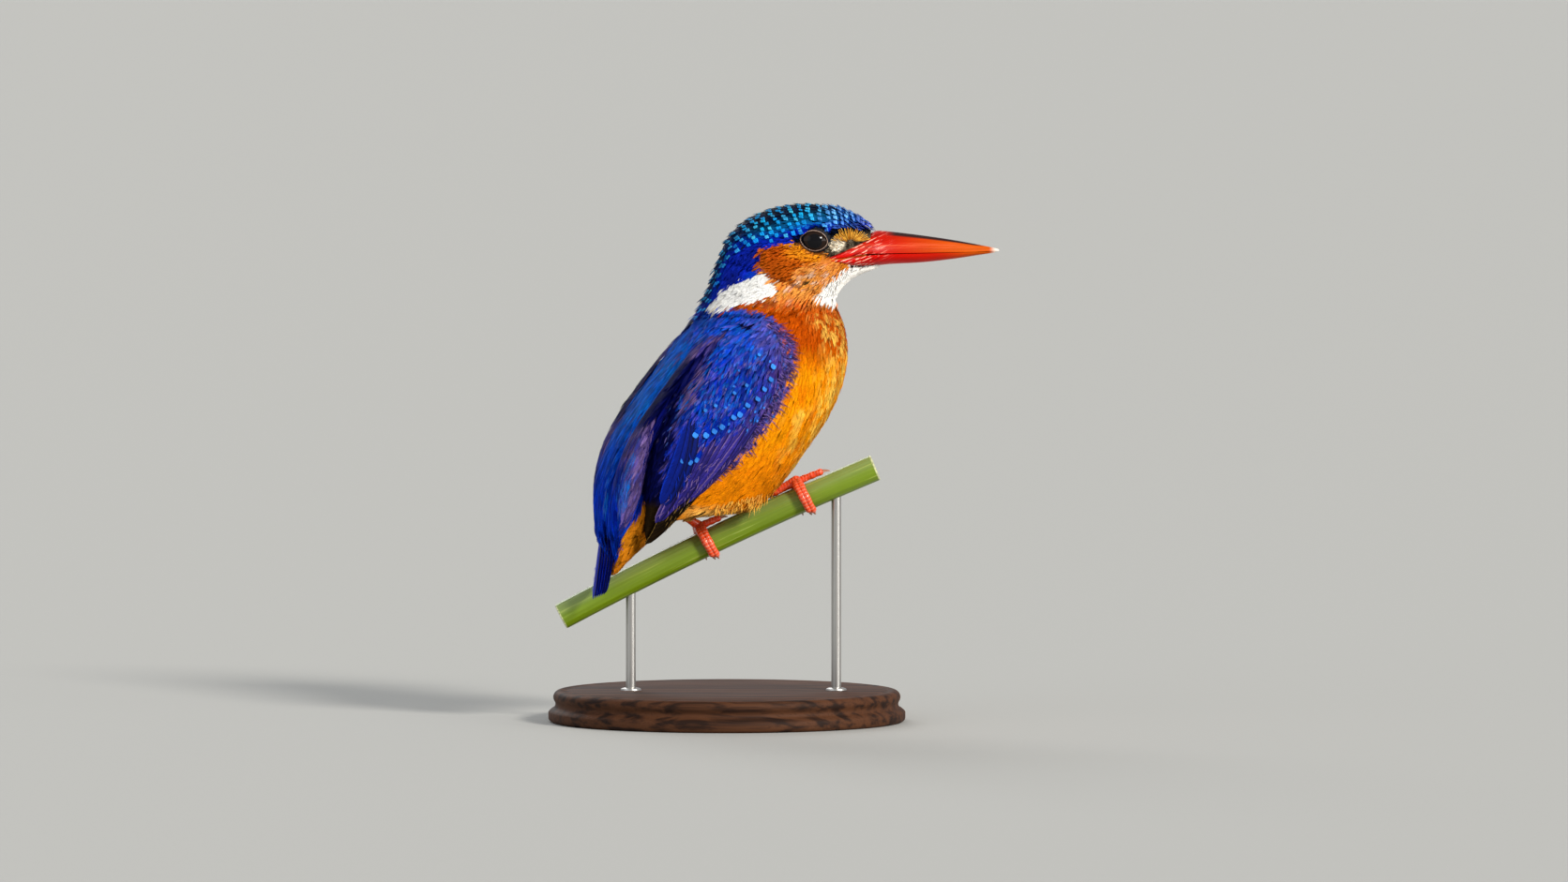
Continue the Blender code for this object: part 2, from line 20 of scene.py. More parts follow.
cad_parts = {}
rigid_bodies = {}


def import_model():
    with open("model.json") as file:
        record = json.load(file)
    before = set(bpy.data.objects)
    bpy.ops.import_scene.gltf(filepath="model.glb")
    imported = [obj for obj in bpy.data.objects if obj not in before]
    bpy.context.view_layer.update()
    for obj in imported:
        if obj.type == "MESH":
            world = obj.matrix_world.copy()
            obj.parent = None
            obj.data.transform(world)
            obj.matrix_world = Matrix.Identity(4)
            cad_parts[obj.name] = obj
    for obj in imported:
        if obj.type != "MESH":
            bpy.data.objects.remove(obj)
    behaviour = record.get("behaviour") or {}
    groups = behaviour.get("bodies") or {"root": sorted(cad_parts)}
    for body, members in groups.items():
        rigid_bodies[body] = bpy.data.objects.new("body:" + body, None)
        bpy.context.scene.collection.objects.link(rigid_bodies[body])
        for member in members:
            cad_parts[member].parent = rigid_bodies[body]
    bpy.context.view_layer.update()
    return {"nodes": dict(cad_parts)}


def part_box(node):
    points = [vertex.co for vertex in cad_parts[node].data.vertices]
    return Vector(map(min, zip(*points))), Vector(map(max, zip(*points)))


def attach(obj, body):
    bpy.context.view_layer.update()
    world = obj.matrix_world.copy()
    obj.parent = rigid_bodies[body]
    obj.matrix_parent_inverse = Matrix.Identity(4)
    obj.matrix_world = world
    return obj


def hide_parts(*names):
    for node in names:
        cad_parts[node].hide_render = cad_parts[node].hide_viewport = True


bl_info = {
    "name": "Kingfisher Model",
    "version": (1, 0, 0),
    "blender": (4, 5, 0),
    "location": "3D View > Sidebar > Kingfisher",
    "description": "Builds a feathered kingfisher on its perch and display stand",
    "category": "Add Mesh",
}

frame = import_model()
NODES = frame["nodes"]
MM = 0.001

HEAD_NODES = ("head", "neck")
BODY_NODES = ("trunk", "tail_coverts", "thigh_left", "thigh_right")
WING_NODES = ("wing_left", "wing_right")
CAPE_NODES = ("scapulars_left", "scapulars_right")
FLESH = HEAD_NODES + BODY_NODES + WING_NODES + CAPE_NODES
SIDES = {"left": 1.0, "right": -1.0}

TRUNK_TURN = math.radians(14.0)
TURN_PIVOT = 5.0
# The share of the turn that a level of the neck takes, by height plus a part of x.
TURN_LEAN = 0.225
TURN_LEVELS = (84.0, 88.0, 93.0, 97.0, 101.0, 104.0, 108.0)
TURN_SHARES = (1.0, 0.95, 0.8, 0.6, 0.4, 0.2, 0.0)


def display(*rgb):
    """A linear colour from display values of 0 to 255."""
    values = [value / 255 for value in rgb]
    return tuple(v / 12.92 if v <= 0.04045 else ((v + 0.055) / 1.055) ** 2.4 for v in values)


def tint(description, *rgb):
    return FloatVectorProperty(description=description, subtype="COLOR", size=3, min=0.0, max=1.0,
                               default=display(*rgb))


def length(description, value):
    return FloatProperty(description=description, default=value, min=0.0, max=200.0)


class KingfisherPlumage(PropertyGroup):
    """Sizes in millimetres and colours of skin and feathers."""

    seed: IntProperty(description="Where the scatter of feathers starts", default=7)
    coat_depth: length("How far the skin lies under the feather tips, in mm", 0.75)
    face_depth: length("The same on the face, in mm", 0.4)
    skin_grain: length("Size of the skin's faces, in mm", 0.42)
    crown_row: length("Distance between the crown's bars, in mm", 1.95)
    crown_feather: length("Distance between feathers in a bar, in mm", 1.22)
    cap: tint("Dark ground of the crown", 4, 16, 36)
    spangle: tint("Bars on the crown", 20, 172, 255)
    brow_spangle: tint("Bars on the forehead", 112, 176, 255)
    ultramarine: tint("Side of the nape", 0, 34, 178)
    nape: tint("Ground of the hind neck", 0, 32, 84)
    ear: tint("Ear coverts", 182, 80, 2)
    gold: tint("Edge under the eye", 238, 138, 18)
    malar: tint("Cheek below the ear coverts", 244, 144, 60)
    white: tint("Throat and neck flash", 248, 246, 240)
    rufous: tint("Upper breast", 176, 64, 0)
    orange: tint("Breast", 240, 142, 4)
    flank: tint("Flanks", 230, 126, 6)
    cream: tint("Pale flecks of the breast's edge", 255, 212, 92)
    buff: tint("Belly and vent", 226, 180, 92)
    vent: tint("Under-tail coverts", 236, 142, 26)
    lore: tint("Bare skin before the eye", 92, 82, 66)
    lore_patch: tint("Pale patch before the eye", 228, 212, 186)
    cobalt: tint("Back and shoulders", 0, 48, 190)
    azure: tint("Lit stripe of the back", 10, 112, 226)
    navy: tint("Folded inner wing", 8, 16, 104)
    violet: tint("Wing", 70, 52, 150)
    lilac: tint("Loose barbs of the wing's edge", 140, 112, 166)
    wing_spot: tint("Spots of the wing coverts", 58, 140, 244)
    quill: tint("Dark flight feathers and shafts", 46, 32, 14)
    tail: tint("Upper face of the tail", 0, 30, 212)


class KingfisherHorn(PropertyGroup):
    """Colours of bill, eyes, feet and claws."""

    bill: tint("Sides of the bill", 186, 18, 0)
    bill_tip: tint("Outer half of the bill", 200, 82, 0)
    bill_lower: tint("Lower mandible", 206, 4, 0)
    ridge: tint("Dark line along the bill's top", 44, 22, 20)
    gape: tint("Pale folds at the gape", 248, 196, 172)
    iris: tint("Ring round the pupil", 40, 22, 10)
    lid: tint("Rim of the eye", 168, 140, 124)
    foot: tint("Skin of the feet", 230, 66, 14)
    foot_pale: tint("Pale edges of the scales", 246, 176, 146)
    claw: tint("Claws", 196, 132, 104)


class KingfisherStand(PropertyGroup):
    """Colours of perch and stand."""

    stem: tint("Lower flank of the stem", 112, 138, 8)
    stem_shade: tint("Upper flank of the stem", 132, 150, 84)
    stem_ridge: tint("Line along the stem", 172, 186, 92)
    pith: tint("Cut ends of the stem", 206, 210, 160)
    wood: tint("Ground of the turned base", 78, 46, 26)
    wood_dark: tint("Dark lines of the turned base", 34, 18, 10)
    steel: tint("Rods", 190, 188, 184)


class KingfisherStage(PropertyGroup):
    """Camera, light and floor."""

    lens: FloatProperty(description="Focal length in mm", default=400.0)
    distance: FloatProperty(description="Camera to bird", default=3.9, unit="LENGTH")
    elevation: FloatProperty(description="Camera's height", default=3.0)
    sun: FloatProperty(description="Strength of the key light", default=3.1)
    sky: FloatProperty(description="Strength of the surroundings", default=0.5)
    floor: tint("Pale studio floor", 176, 176, 172)


# ---------------------------------------------------------------- places on the bird

def turn_of(x, z):
    """The trunk's heading, in radians, at a level of the bird."""
    return TRUNK_TURN * np.interp(z + TURN_LEAN * x, TURN_LEVELS, TURN_SHARES)


def to_side(points):
    """Side coordinates x, aside, z in millimetres of points in metres."""
    at = np.asarray(points, float) / MM
    heading = turn_of(at[:, 0], at[:, 2])
    tan, cos = np.tan(heading), np.cos(heading)
    x = (at[:, 0] + at[:, 1] * tan + TURN_PIVOT * tan**2) * cos**2
    aside = (at[:, 1] - (x - TURN_PIVOT) * tan) / cos
    return np.stack((x, aside, at[:, 2]), 1)


def from_side(x, aside, z):
    """Points in metres from side coordinates in millimetres."""
    x, aside, z = np.broadcast_arrays(*(np.asarray(v, float) for v in (x, aside, z)))
    heading = turn_of(x, z)
    made = (
        x - aside * np.sin(heading),
        (x - TURN_PIVOT) * np.tan(heading) + aside * np.cos(heading),
        z,
    )
    return np.stack(made, -1) * MM


def side_way(x, z, dx, dz, out=0.0):
    """A unit direction in the round from one in the side view; out is towards the left."""
    heading = turn_of(x, z)
    way = np.stack((
        dx - out * np.sin(heading),
        dx * np.tan(heading) + out * np.cos(heading),
        dz + 0.0 * dx,
    ), -1)
    return unit(way)


def unit(vectors):
    return vectors / np.maximum(np.linalg.norm(vectors, axis=-1, keepdims=True), 1e-12)


def flat(ways, normals):
    """Unit directions, laid along a surface."""
    return unit(ways - normals * np.sum(ways * normals, 1, keepdims=True))


def smooth(low, high, value):
    share = np.clip((np.asarray(value, float) - low) / (high - low), 0, 1)
    return share * share * (3 - 2 * share)


def mix(one, other, share):
    share = np.asarray(share, float)
    if np.ndim(share):
        share = share[..., None]
    return np.asarray(one) * (1 - share) + np.asarray(other) * share


def beside(line, x, z):
    """How far places of the side view lie from a line of points, how far along it, how high
    over the nearest leg of it, and how long it is."""
    best, place, above, start = np.full(len(x), 1e9), 0.0, 0.0, 0.0
    for (ax, az), (bx, bz) in zip(line, line[1:]):
        dx, dz = bx - ax, bz - az
        leg = math.sqrt(dx * dx + dz * dz)
        along = ((x - ax) * dx + (z - az) * dz) / leg
        kept = np.clip(along, 0, leg)
        gap = np.hypot(x - ax - kept * dx / leg, z - az - kept * dz / leg)
        place = np.where(gap < best, start + along, place)
        above = np.where(gap < best, ((z - az) * dx - (x - ax) * dz) / leg, above)
        best = np.minimum(best, gap)
        start += leg
    return best, place, above, start


def brow_of(side):
    """How far places belong to the full forehead over the bill's root, from 0 to 1."""
    x, aside, z = side.T
    return (smooth(21.0, 28.0, x) * smooth(34.4, 33.4, x) * smooth(7.0, 4.0, np.abs(aside))
            * smooth(107.0, 109.0, z))


class Surface:
    """A surface that feathers are set on, asked for its nearest points."""

    def __init__(self, points, faces):
        self.tree = BVHTree.FromPolygons([tuple(p) for p in points], [tuple(f) for f in faces])

    def nearest(self, points):
        """The nearest points, the outward normals there and the faces' numbers."""
        found = [self.tree.find_nearest(Vector(p)) for p in points]
        places = np.array([f[0][:] for f in found])
        normals = np.array([f[1][:] for f in found])
        return places, normals, np.array([f[2] for f in found])

    def seen_from_side(self, x, z, sign):
        """The points first met coming in from the bird's left (1) or right (-1)."""
        x, z = np.broadcast_arrays(np.asarray(x, float), np.asarray(z, float))
        starts = from_side(x, sign * 60.0, z)
        ways = -sign * side_way(x, z, 0.0 * x, 0.0 * z, 1.0)
        found, normals = [], []
        for start, way in zip(starts, ways):
            hit = self.tree.ray_cast(Vector(start), Vector(way))
            if hit[0] is None:
                middle = Vector(start) + Vector(way) * 0.05
                hit = self.tree.find_nearest(middle)
            found.append(hit[0][:])
            normals.append(hit[1][:])
        return np.array(found), np.array(normals)


def mesh_arrays(mesh):
    """The points and triangles of a mesh."""
    mesh.calc_loop_triangles()
    points = np.zeros(len(mesh.vertices) * 3)
    mesh.vertices.foreach_get("co", points)
    faces = np.zeros(len(mesh.loop_triangles) * 3, np.int32)
    mesh.loop_triangles.foreach_get("vertices", faces)
    return points.reshape(-1, 3), faces.reshape(-1, 3)


def solids_surface(names):
    """The outer form of these nodes as one surface, and each face's node."""
    points, faces, owners, count = [], [], [], 0
    for index, name in enumerate(names):
        p, f = mesh_arrays(NODES[name].data)
        points.append(p)
        faces.append(f + count)
        owners.append(np.full(len(f), index))
        count += len(p)
    return Surface(np.concatenate(points), np.concatenate(faces)), np.concatenate(owners)


# ---------------------------------------------------------------- the lie of the plumage

# Where the feathers point: x and z of a place in the side view, and the way they lie there.
LIE = np.array((
    (33, 109.2, -0.9, 0.42), (28.5, 112.6, -0.92, 0.3), (22, 115, -0.98, 0.12), (14, 115.6, -1, -0.02),
    (6, 113, -0.9, -0.42), (1, 109, -0.68, -0.73), (-2, 103, -0.42, -0.91), (-4.5, 97, -0.38, -0.92),
    (-7, 91, -0.5, -0.86), (30, 109.6, -0.92, 0.1), (24, 111.6, -0.95, -0.28), (18, 112, -0.95, -0.3),
    (10, 109, -0.92, -0.4), (4, 106, -0.8, -0.6), (2.5, 101.5, -0.62, -0.78), (14, 106.4, -0.98, -0.2),
    (20, 103.8, -0.96, -0.26), (10, 103, -0.97, -0.25), (7, 101, -0.86, -0.5), (26, 102.6, -0.9, -0.44),
    (20, 100, -0.84, -0.54), (14, 98, -0.8, -0.6), (33, 102.8, -0.94, -0.34), (27, 100.4, -0.8, -0.6),
    (22.5, 96.6, -0.52, -0.85), (8, 98, -0.84, -0.54), (2, 96, -0.84, -0.54), (-2, 93.6, -0.76, -0.65),
    (12, 94, -0.66, -0.75), (20, 92, -0.22, -0.97), (26, 88, 0.02, -1), (26, 80, -0.08, -1),
    (18, 84, -0.18, -0.98), (16, 74, -0.34, -0.94), (22, 68, -0.34, -0.94), (12, 64, -0.56, -0.83),
    (15, 58, -0.5, -0.86), (4, 57, -0.72, -0.7), (6, 50, -0.62, -0.78), (-6, 50, -0.86, -0.52),
    (-16, 45, -0.74, -0.67), (-22, 38, -0.5, -0.87), (-8, 86, -0.52, -0.85), (-16, 76, -0.58, -0.82),
    (-24, 62, -0.44, -0.9), (-29, 50, -0.12, -0.99), (-29, 40, -0.06, -1), (-2, 82, -0.52, -0.85),
    (4, 74, -0.46, -0.89), (-6, 66, -0.54, -0.84), (-14, 56, -0.56, -0.83),
))
LIE_REACH = 5.0  # how evenly neighbouring entries are blended


def lie_at(points, normals):
    """The unit direction of the coat at points of a surface, along that surface."""
    side = to_side(points)
    apart = (side[:, None, 0] - LIE[:, 0]) ** 2 + (side[:, None, 2] - LIE[:, 1]) ** 2
    weights = 1 / (apart + LIE_REACH) ** 2
    way = weights @ LIE[:, 2:] / weights.sum(1, keepdims=True)
    return flat(side_way(side[:, 0], side[:, 2], way[:, 0], way[:, 1]), normals)


def inside(outline, x, z):
    """Whether places of the side view lie in a closed outline."""
    found = np.zeros(len(x), bool)
    for (ax, az), (bx, bz) in zip(outline, outline[1:] + outline[:1]):
        if az != bz:
            found ^= ((az > z) != (bz > z)) & (x < (bx - ax) * (z - az) / (bz - az) + ax)
    return found


# Outlines of the markings in the side view.
CAP_EDGE = [
    (34.5, 108.9), (32, 109.9), (28.5, 110.6), (25, 111), (20.4, 110.6), (15.8, 109.8), (12.6, 108.8),
    (8.4, 108.1), (4.2, 107.4), (1.8, 105.6), (0.2, 102.6), (-1.6, 98.6), (-3.2, 94.6), (-5.6, 91.4),
]
CAP_X, CAP_Z = zip(*sorted(CAP_EDGE))
CAP = CAP_EDGE + [(-30, 92), (-30, 130), (40, 130), (40, 109)]
NAPE = [
    (25, 111.4), (24.2, 110.2), (22.4, 109.4), (20, 109.2), (17.6, 108.6), (16, 107.7), (15, 107.3),
    (12.5, 107.4), (9.6, 107), (7.8, 106.1), (7, 104.5), (7, 102.4), (7.6, 101), (3.6, 100), (1, 98.8),
    (-1.2, 96.8), (-3.5, 94.7), (-6, 91.6), (-30, 91), (-30, 130), (25, 130),
]
EAR_PATCH = [
    (16.6, 106.9), (15, 107.4), (12.5, 107.5), (9.6, 107.1), (7.8, 106.1), (7, 104.5), (7, 102.6),
    (7.8, 101.6), (9.4, 100.2), (11.4, 99), (14.4, 99.4), (15.6, 102), (19, 103.2), (22, 104.2),
    (22.6, 105), (19.6, 105.2),
]
FLASH = [
    (7, 101.1), (3.6, 100.2), (1, 99), (-1.2, 97), (-3.5, 94.9), (-3.2, 93.5), (-1.2, 93.4),
    (1.2, 94.1), (3.6, 94.9), (6.4, 95.2), (9.2, 96.4), (11, 98.2), (10.4, 99.3), (9, 100.4),
]
THROAT = [
    (37, 103.4), (31, 103.2), (28.5, 102.9), (26.4, 101.9), (24, 100.2), (21.4, 98.2), (19.8, 96.8),
    (20.2, 95.6), (22.4, 94.8), (26.5, 94.2), (40, 95), (40, 103),
]
SHOULDER = [
    (-5.6, 93.8), (-1, 93.5), (2.5, 93.6), (4.8, 93), (7, 92.6), (9, 91.2), (10.8, 88.6), (11.6, 85.5),
    (11.4, 82), (10.4, 77.5), (8.6, 73), (5, 67.6), (0, 61), (-4, 62), (-8, 80), (-8, 90),
]
LORE = [
    (23.6, 112.2), (22.4, 104.4), (24.4, 104), (28, 105.4), (33.6, 108.4), (33.4, 109.6), (28.6, 111),
]
BACK = [
    (-3, 92.6), (-5.4, 86), (-12, 71), (-18, 58), (-21.2, 50), (-23.2, 44), (-24.8, 39.8), (-27.2, 31),
    (-60, 31), (-60, 95), (-5, 95),
]
GAPE = [
    (21.3, 103.9), (25.3, 105.7), (29, 107.3), (31.6, 108.5), (32.4, 109.6), (32, 110.9), (70, 110.9),
    (70, 102.7), (34, 102.7), (30.9, 102.5), (27.5, 102.5), (27, 103.3), (24, 103.7),
]
OUTLINES = {
    "shoulder": SHOULDER, "nape": NAPE, "ear": EAR_PATCH, "lore": LORE, "flash": FLASH,
    "throat": THROAT, "cap": CAP,
}
REGIONS = ("cap", "nape", "ear", "flash", "throat", "lore", "cheek", "breast", "back", "shoulder")
# Ovals in the side view: x and z of the middle, and half of the length and height.
EYE_OVAL = (19.4, 108.0, 4.3, 3.3)
LORE_PATCH = (24.7, 107.3, 1.9, 1.6)
EAR_SPOT = (18.0, 99.5, 0.9, 0.6)
WING_NOTCH_SHADE = (2.4, 89.6, 1.8, 1.1)
TUFT_ROOT = (27.6, 107.4)  # whence the loral bristles spread
# The shoulder feathers' edge and the wing's, and the width of the painted shade in the recess between
# them, by height.
CAPE_LEVELS = (44.2, 50, 57.4, 65.4, 73.8, 81.2, 86.6, 90.2)
CAPE_EDGE = (-23.4, -21.8, -20.8, -19, -14.9, -8.2, -2.6, 1.4)
RECESS_SHADE_LEVELS = (44, 48, 52, 56, 61, 65, 70, 74, 79, 84)
RECESS_SHADE_WIDTHS = (2, 2.8, 2.9, 3.8, 4, 3.9, 2.8, 1.8, 0.6, 0)
LAPPET_LEVELS = (44, 48.7, 56.6, 65.4, 70, 75, 77, 80, 83.1, 85.3, 88, 90.2)
LAPPET_EDGE = (-23.4, -22.2, -21.4, -20.4, -19.8, -18.9, -17.2, -13.8, -10.2, -7, -2.4, 2.4)
WING_FRONT = np.array([
    (9.6, 88), (11.2, 83), (10.2, 76.2), (7.2, 69), (1.6, 61.6), (-5.2, 55), (-11.4, 49), (-17, 43.6),
])


def oval(x, z, middle_x, middle_z, half_length, half_height):
    """How far places lie from an oval's middle: 1 on its edge."""
    return np.hypot((x - middle_x) / half_length, (z - middle_z) / half_height)


def is_region(region, *names):
    return np.isin(region, [REGIONS.index(name) for name in names])


def regions_of(side, rng, rough=0.25):
    """Which marking each place has, with ragged edges."""
    x = side[:, 0] + rng.normal(0, rough, len(side))
    z = side[:, 2] + rng.normal(0, rough, len(side))
    on_head = z + 0.10 * x > 94.4
    found = np.where(on_head, REGIONS.index("cheek"), REGIONS.index("breast"))
    found[inside(BACK, x, z)] = REGIONS.index("back")
    for name, outline in OUTLINES.items():
        hit = inside(outline, x, z)
        if name == "lore":
            hit |= (oval(x, z, *EYE_OVAL) < 1) & (z > 107.4 - 0.5 * (x - 15.6))
        if name == "throat":
            hit &= on_head | (x > 16)
        if name in ("cap", "nape"):
            hit &= z > 91.6
        found[hit] = REGIONS.index(name)
    return found


def ripple(points, scale, phase=0.0):
    """A smooth, even variation over the body between -1 and 1, from a few crossed waves."""
    p = np.asarray(points) / MM / scale
    total = np.sin(p @ (1.7, 0.9, -1.3) + phase) + np.sin(p @ (-0.8, 1.9, 1.1) + 2.1 * phase)
    total += np.sin(p @ (0.6, -1.4, 2.3) + 0.7 * phase) + np.sin(p @ (2.9, 0.5, 0.4) - phase)
    return total / 4


def breast_front(x, z):
    """How far a place belongs to the pale front edge of the breast, from 0 to 1."""
    back = x + 0.25 * np.maximum(80 - z, 0) + 0.25 * np.maximum(z - 84, 0)
    back += 0.3 * np.maximum(62 - z, 0)
    return smooth(17.5, 21.5, back) * smooth(94.0, 91.0, z) * smooth(49.5, 52.0, z)


def layered(ground, *layers):
    """A colour with others laid over it in turn, each by its share."""
    for colour, share in layers:
        ground = mix(ground, colour, share)
    return ground


def body_colour(points, look):
    """The colour of head, neck, trunk and back at points of the skin."""
    side = to_side(points)
    x, _, z = side.T
    region = regions_of(side, np.random.default_rng(look.seed))
    wave, fine = ripple(points, 2.6), ripple(points, 0.8, 1.3)
    streak = ripple(points * (1.0, 1.0, 0.6), 0.9, 0.4)
    dark = smooth(-0.2, 0.4, ripple(points * (1.0, 1.0, 0.5), 0.9, 1.9))
    dark *= smooth(97.0, 95.0, z) * smooth(13.0, 8.0, x) * smooth(88.0, 90.0, z)
    # How far places lie from the middle of a painted shadow in the vent.
    vent_shadow_oval = np.hypot((x + 20.6 + 0.4 * (z - 42.4)) / 1.5, (z - 42.4) / 2.4)
    breast = layered(
        look.rufous,
        (look.orange, smooth(87.0, 80.0, z + wave * 1.5)),
        (look.flank, 0.8 * smooth(70.0, 58.0, z + wave * 2) * smooth(20.0, 10.0, x + z * 0.16 - 10)),
        (look.cream, 0.5 * breast_front(x, z) * smooth(-0.1, 0.5, streak)),
        (look.cream, 0.5 * smooth(84.0, 74.0, z) * smooth(8.0, 15.0, x)
         * smooth(0.1, 0.6, ripple(points * (1.0, 1.0, 0.5), 1.9, 2.7))),
        (look.rufous, 0.4 * smooth(56.0, 62.0, z) * smooth(2.0, 8.0, x)
         * smooth(0.1, 0.6, ripple(points * (1.0, 1.0, 0.4), 1.3, 4.1))),
        (look.buff, 0.8 * smooth(51.5, 48.0, z + 0.6 * wave) * smooth(-14.0, -6.0, x)),
        # Painted shade: the under-tail coverts darker towards the rear, and a dark painted shadow in
        # the vent's middle.
        (look.vent * 0.8, smooth(-9.0, -15.0, x)),
        (look.vent * 0.2, 0.8 * smooth(1.2, 0.6, vent_shadow_oval)),
        (look.rufous * 0.2, 0.9 * dark),
    )
    cheek = layered(
        look.malar,
        (look.rufous, smooth(98.5, 95.0, z + 0.1 * x + wave * 0.6)),
        (look.ear, smooth(0.1, 0.6, fine) * 0.7),
        (look.white, 0.34 * smooth(0.15, 0.7, ripple(points * (0.5, 1.0, 1.0), 0.7, 2.2))
         * smooth(94.0, 97.0, z) * smooth(104.0, 101.0, z)),
        (look.rufous * 0.2, 0.9 * dark),
        (look.flank, 0.8 * smooth(24.0, 27.0, x)),
        (look.quill, smooth(1.0, 0.5, oval(x, z, *EAR_SPOT))),
    )
    rim = smooth(104.6, 106.6, z + 0.28 * (x - 12)) * smooth(12.0, 16.0, x)
    rim = np.maximum(rim, 0.8 * smooth(8.6, 6.4, x) * smooth(103.4, 101.4, z))
    lore = layered(
        look.lore,
        (look.lore * 0.2, smooth(-0.3, 0.4, fine)),
        (look.lore_patch, smooth(1.15, 0.7, oval(x, z, *LORE_PATCH))),
        (look.cap * 0.5, smooth(108.6, 109.8, z + 0.12 * (27 - x))),
        (look.cap * 0.5, smooth(22.6, 21.4, x)),
    )
    white = mix(look.white, look.white * 0.9, smooth(0.2, 0.9, fine))
    hairs = smooth(96.5, 93.6, z) * smooth(2.0, -2.0, x)
    nape = layered(
        look.ultramarine,
        (look.ultramarine * 0.45, smooth(-0.2, 0.9, -wave)),
        (look.azure, 0.35 * smooth(0.3, 0.9, wave) * smooth(98, 104, z)),
    )
    # Painted sheen: an azure stripe of painted highlight down the back, where the light catches it.
    painted_sheen = smooth(56.0, 76.0, z) * (0.55 + 0.45 * smooth(-0.2, 0.6, streak))
    looks = {
        "cap": mix(look.cap, look.nape, smooth(8.0, 0.0, x)),
        "nape": nape,
        "ear": layered(look.ear, (look.rufous, 0.5 * smooth(0.0, 0.8, wave)), (look.gold, rim)),
        "flash": mix(white, look.buff * 0.55, 0.6 * hairs * smooth(0.0, 0.5, fine)),
        "throat": white,
        "lore": lore,
        "cheek": cheek,
        "breast": breast,
        "back": layered(look.cobalt, (look.azure * 1.2, painted_sheen),
                        (look.ultramarine, 0.4 * smooth(0.0, 0.8, wave))),
        "shoulder": wing_colour(points, look),
    }
    colour = np.zeros((len(points), 3))
    for name, values in looks.items():
        here = is_region(region, name)
        colour[here] = values[here]
    return colour


def front_distance(x, z):
    """How far behind the wing's front edge a place of the side view lies."""
    return beside(WING_FRONT, x, z)[0]


def ahead_of_wing(x, z):
    """Whether places lie on the strip before the wing that the breast's feathers hide."""
    edge_x, edge_z = WING_FRONT[::-1].T
    return (x > np.interp(z, edge_z, edge_x) - 0.7) & (z < 84.0)


def wing_colour(points, look):
    x, _, z = to_side(points).T
    wave, fine = ripple(points, 1.9, 0.8), ripple(points, 0.55, 0.2)
    near = np.where(z > 88, 3.0 + 0.7 * np.clip(7.0 - x, 0, 8), front_distance(x, z))
    top = smooth(80.0, 88.0, z)
    colour = layered(
        look.violet,
        (look.cobalt, smooth(2.5, 8.0, near + wave * 1.6)),
        (look.azure, 0.7 * smooth(0.0, 0.8, fine) * smooth(66.0, 72.0, z) * smooth(4.0, 8.0, near)),
        (look.lilac, 0.65 * smooth(3.4, 0.4, near) * smooth(-0.3, 0.6, fine)),
        (look.azure, 0.22 * top),
    )
    width = np.interp(z, RECESS_SHADE_LEVELS, RECESS_SHADE_WIDTHS)
    gap = x - np.interp(z, CAPE_LEVELS, CAPE_EDGE) + wave * 0.8
    return layered(
        colour * (0.6 + 0.25 * top)[:, None],
        # Painted shade: a dark navy band in the recess between the shoulder feathers and the wing.
        (look.navy * 0.28, smooth(width + 1.2, width - 0.6, gap) * smooth(85.0, 82.0, z)),
        # Painted shade: a dark oval in the notch at the wing's top.
        (look.navy * 0.15, smooth(1.2, 0.6, oval(x, z, *WING_NOTCH_SHADE))),
        (look.quill, smooth(51.5, 48.5, z) * smooth(-12.0, -15.5, x)),
    )


def cape_colour(points, look):
    x, _, z = to_side(points).T
    behind = np.interp(z, LAPPET_LEVELS, LAPPET_EDGE) - x
    wave = ripple(points * (1.0, 1.0, 0.4), 1.5, 0.8)
    fine = ripple(points * (1.0, 1.0, 0.3), 0.55, 1.7)
    lines = np.sin(behind * 4.4 + 1.6 * np.sin(z * 0.21) + 0.9 * wave)
    colour = mix(look.cobalt, look.ultramarine, smooth(-0.4, 0.6, wave))
    # lit: azure painted highlight on the crests of the shoulder feathers' lines.
    lit = smooth(0.0, 0.8, lines) * smooth(3.8, 5.0, behind) * smooth(10.0, 8.0, behind)
    # high: azure painted highlight on the upper shoulder feathers, where the light catches them.
    high = smooth(74.0, 86.0, z) * smooth(4.0, 6.5, behind) * smooth(-0.5, 0.6, lines)
    wide = np.interp(z, (46.0, 52.0, 74.0, 80.0, 88.0), (0.8, 4.6, 4.0, 2.4, 2.0))
    fringe = smooth(1.1, 0.5, behind / wide + wave * 0.35) * (0.6 + 0.4 * smooth(-0.4, 0.5, fine))
    loose = mix(look.lilac * 0.3, look.lilac * 0.8, smooth(-0.4, 0.6, fine))
    # ahead: before the lappets' edge the cape is painted dark navy, as painted shade of the recess by
    # the wing.
    ahead = smooth(0.2, -0.6, behind) * (1 - smooth(-1.4, -2.2, behind) * smooth(82.0, 85.0, z))
    return layered(
        mix(colour * 0.5, colour, smooth(-0.8, 0.4, lines)),
        (look.azure, 0.45 * lit * smooth(54.0, 64.0, z)),
        (look.azure, 0.4 * high),
        (loose, 0.9 * fringe),
        (look.navy * 0.55, ahead),
    )


# ---------------------------------------------------------------- feathers

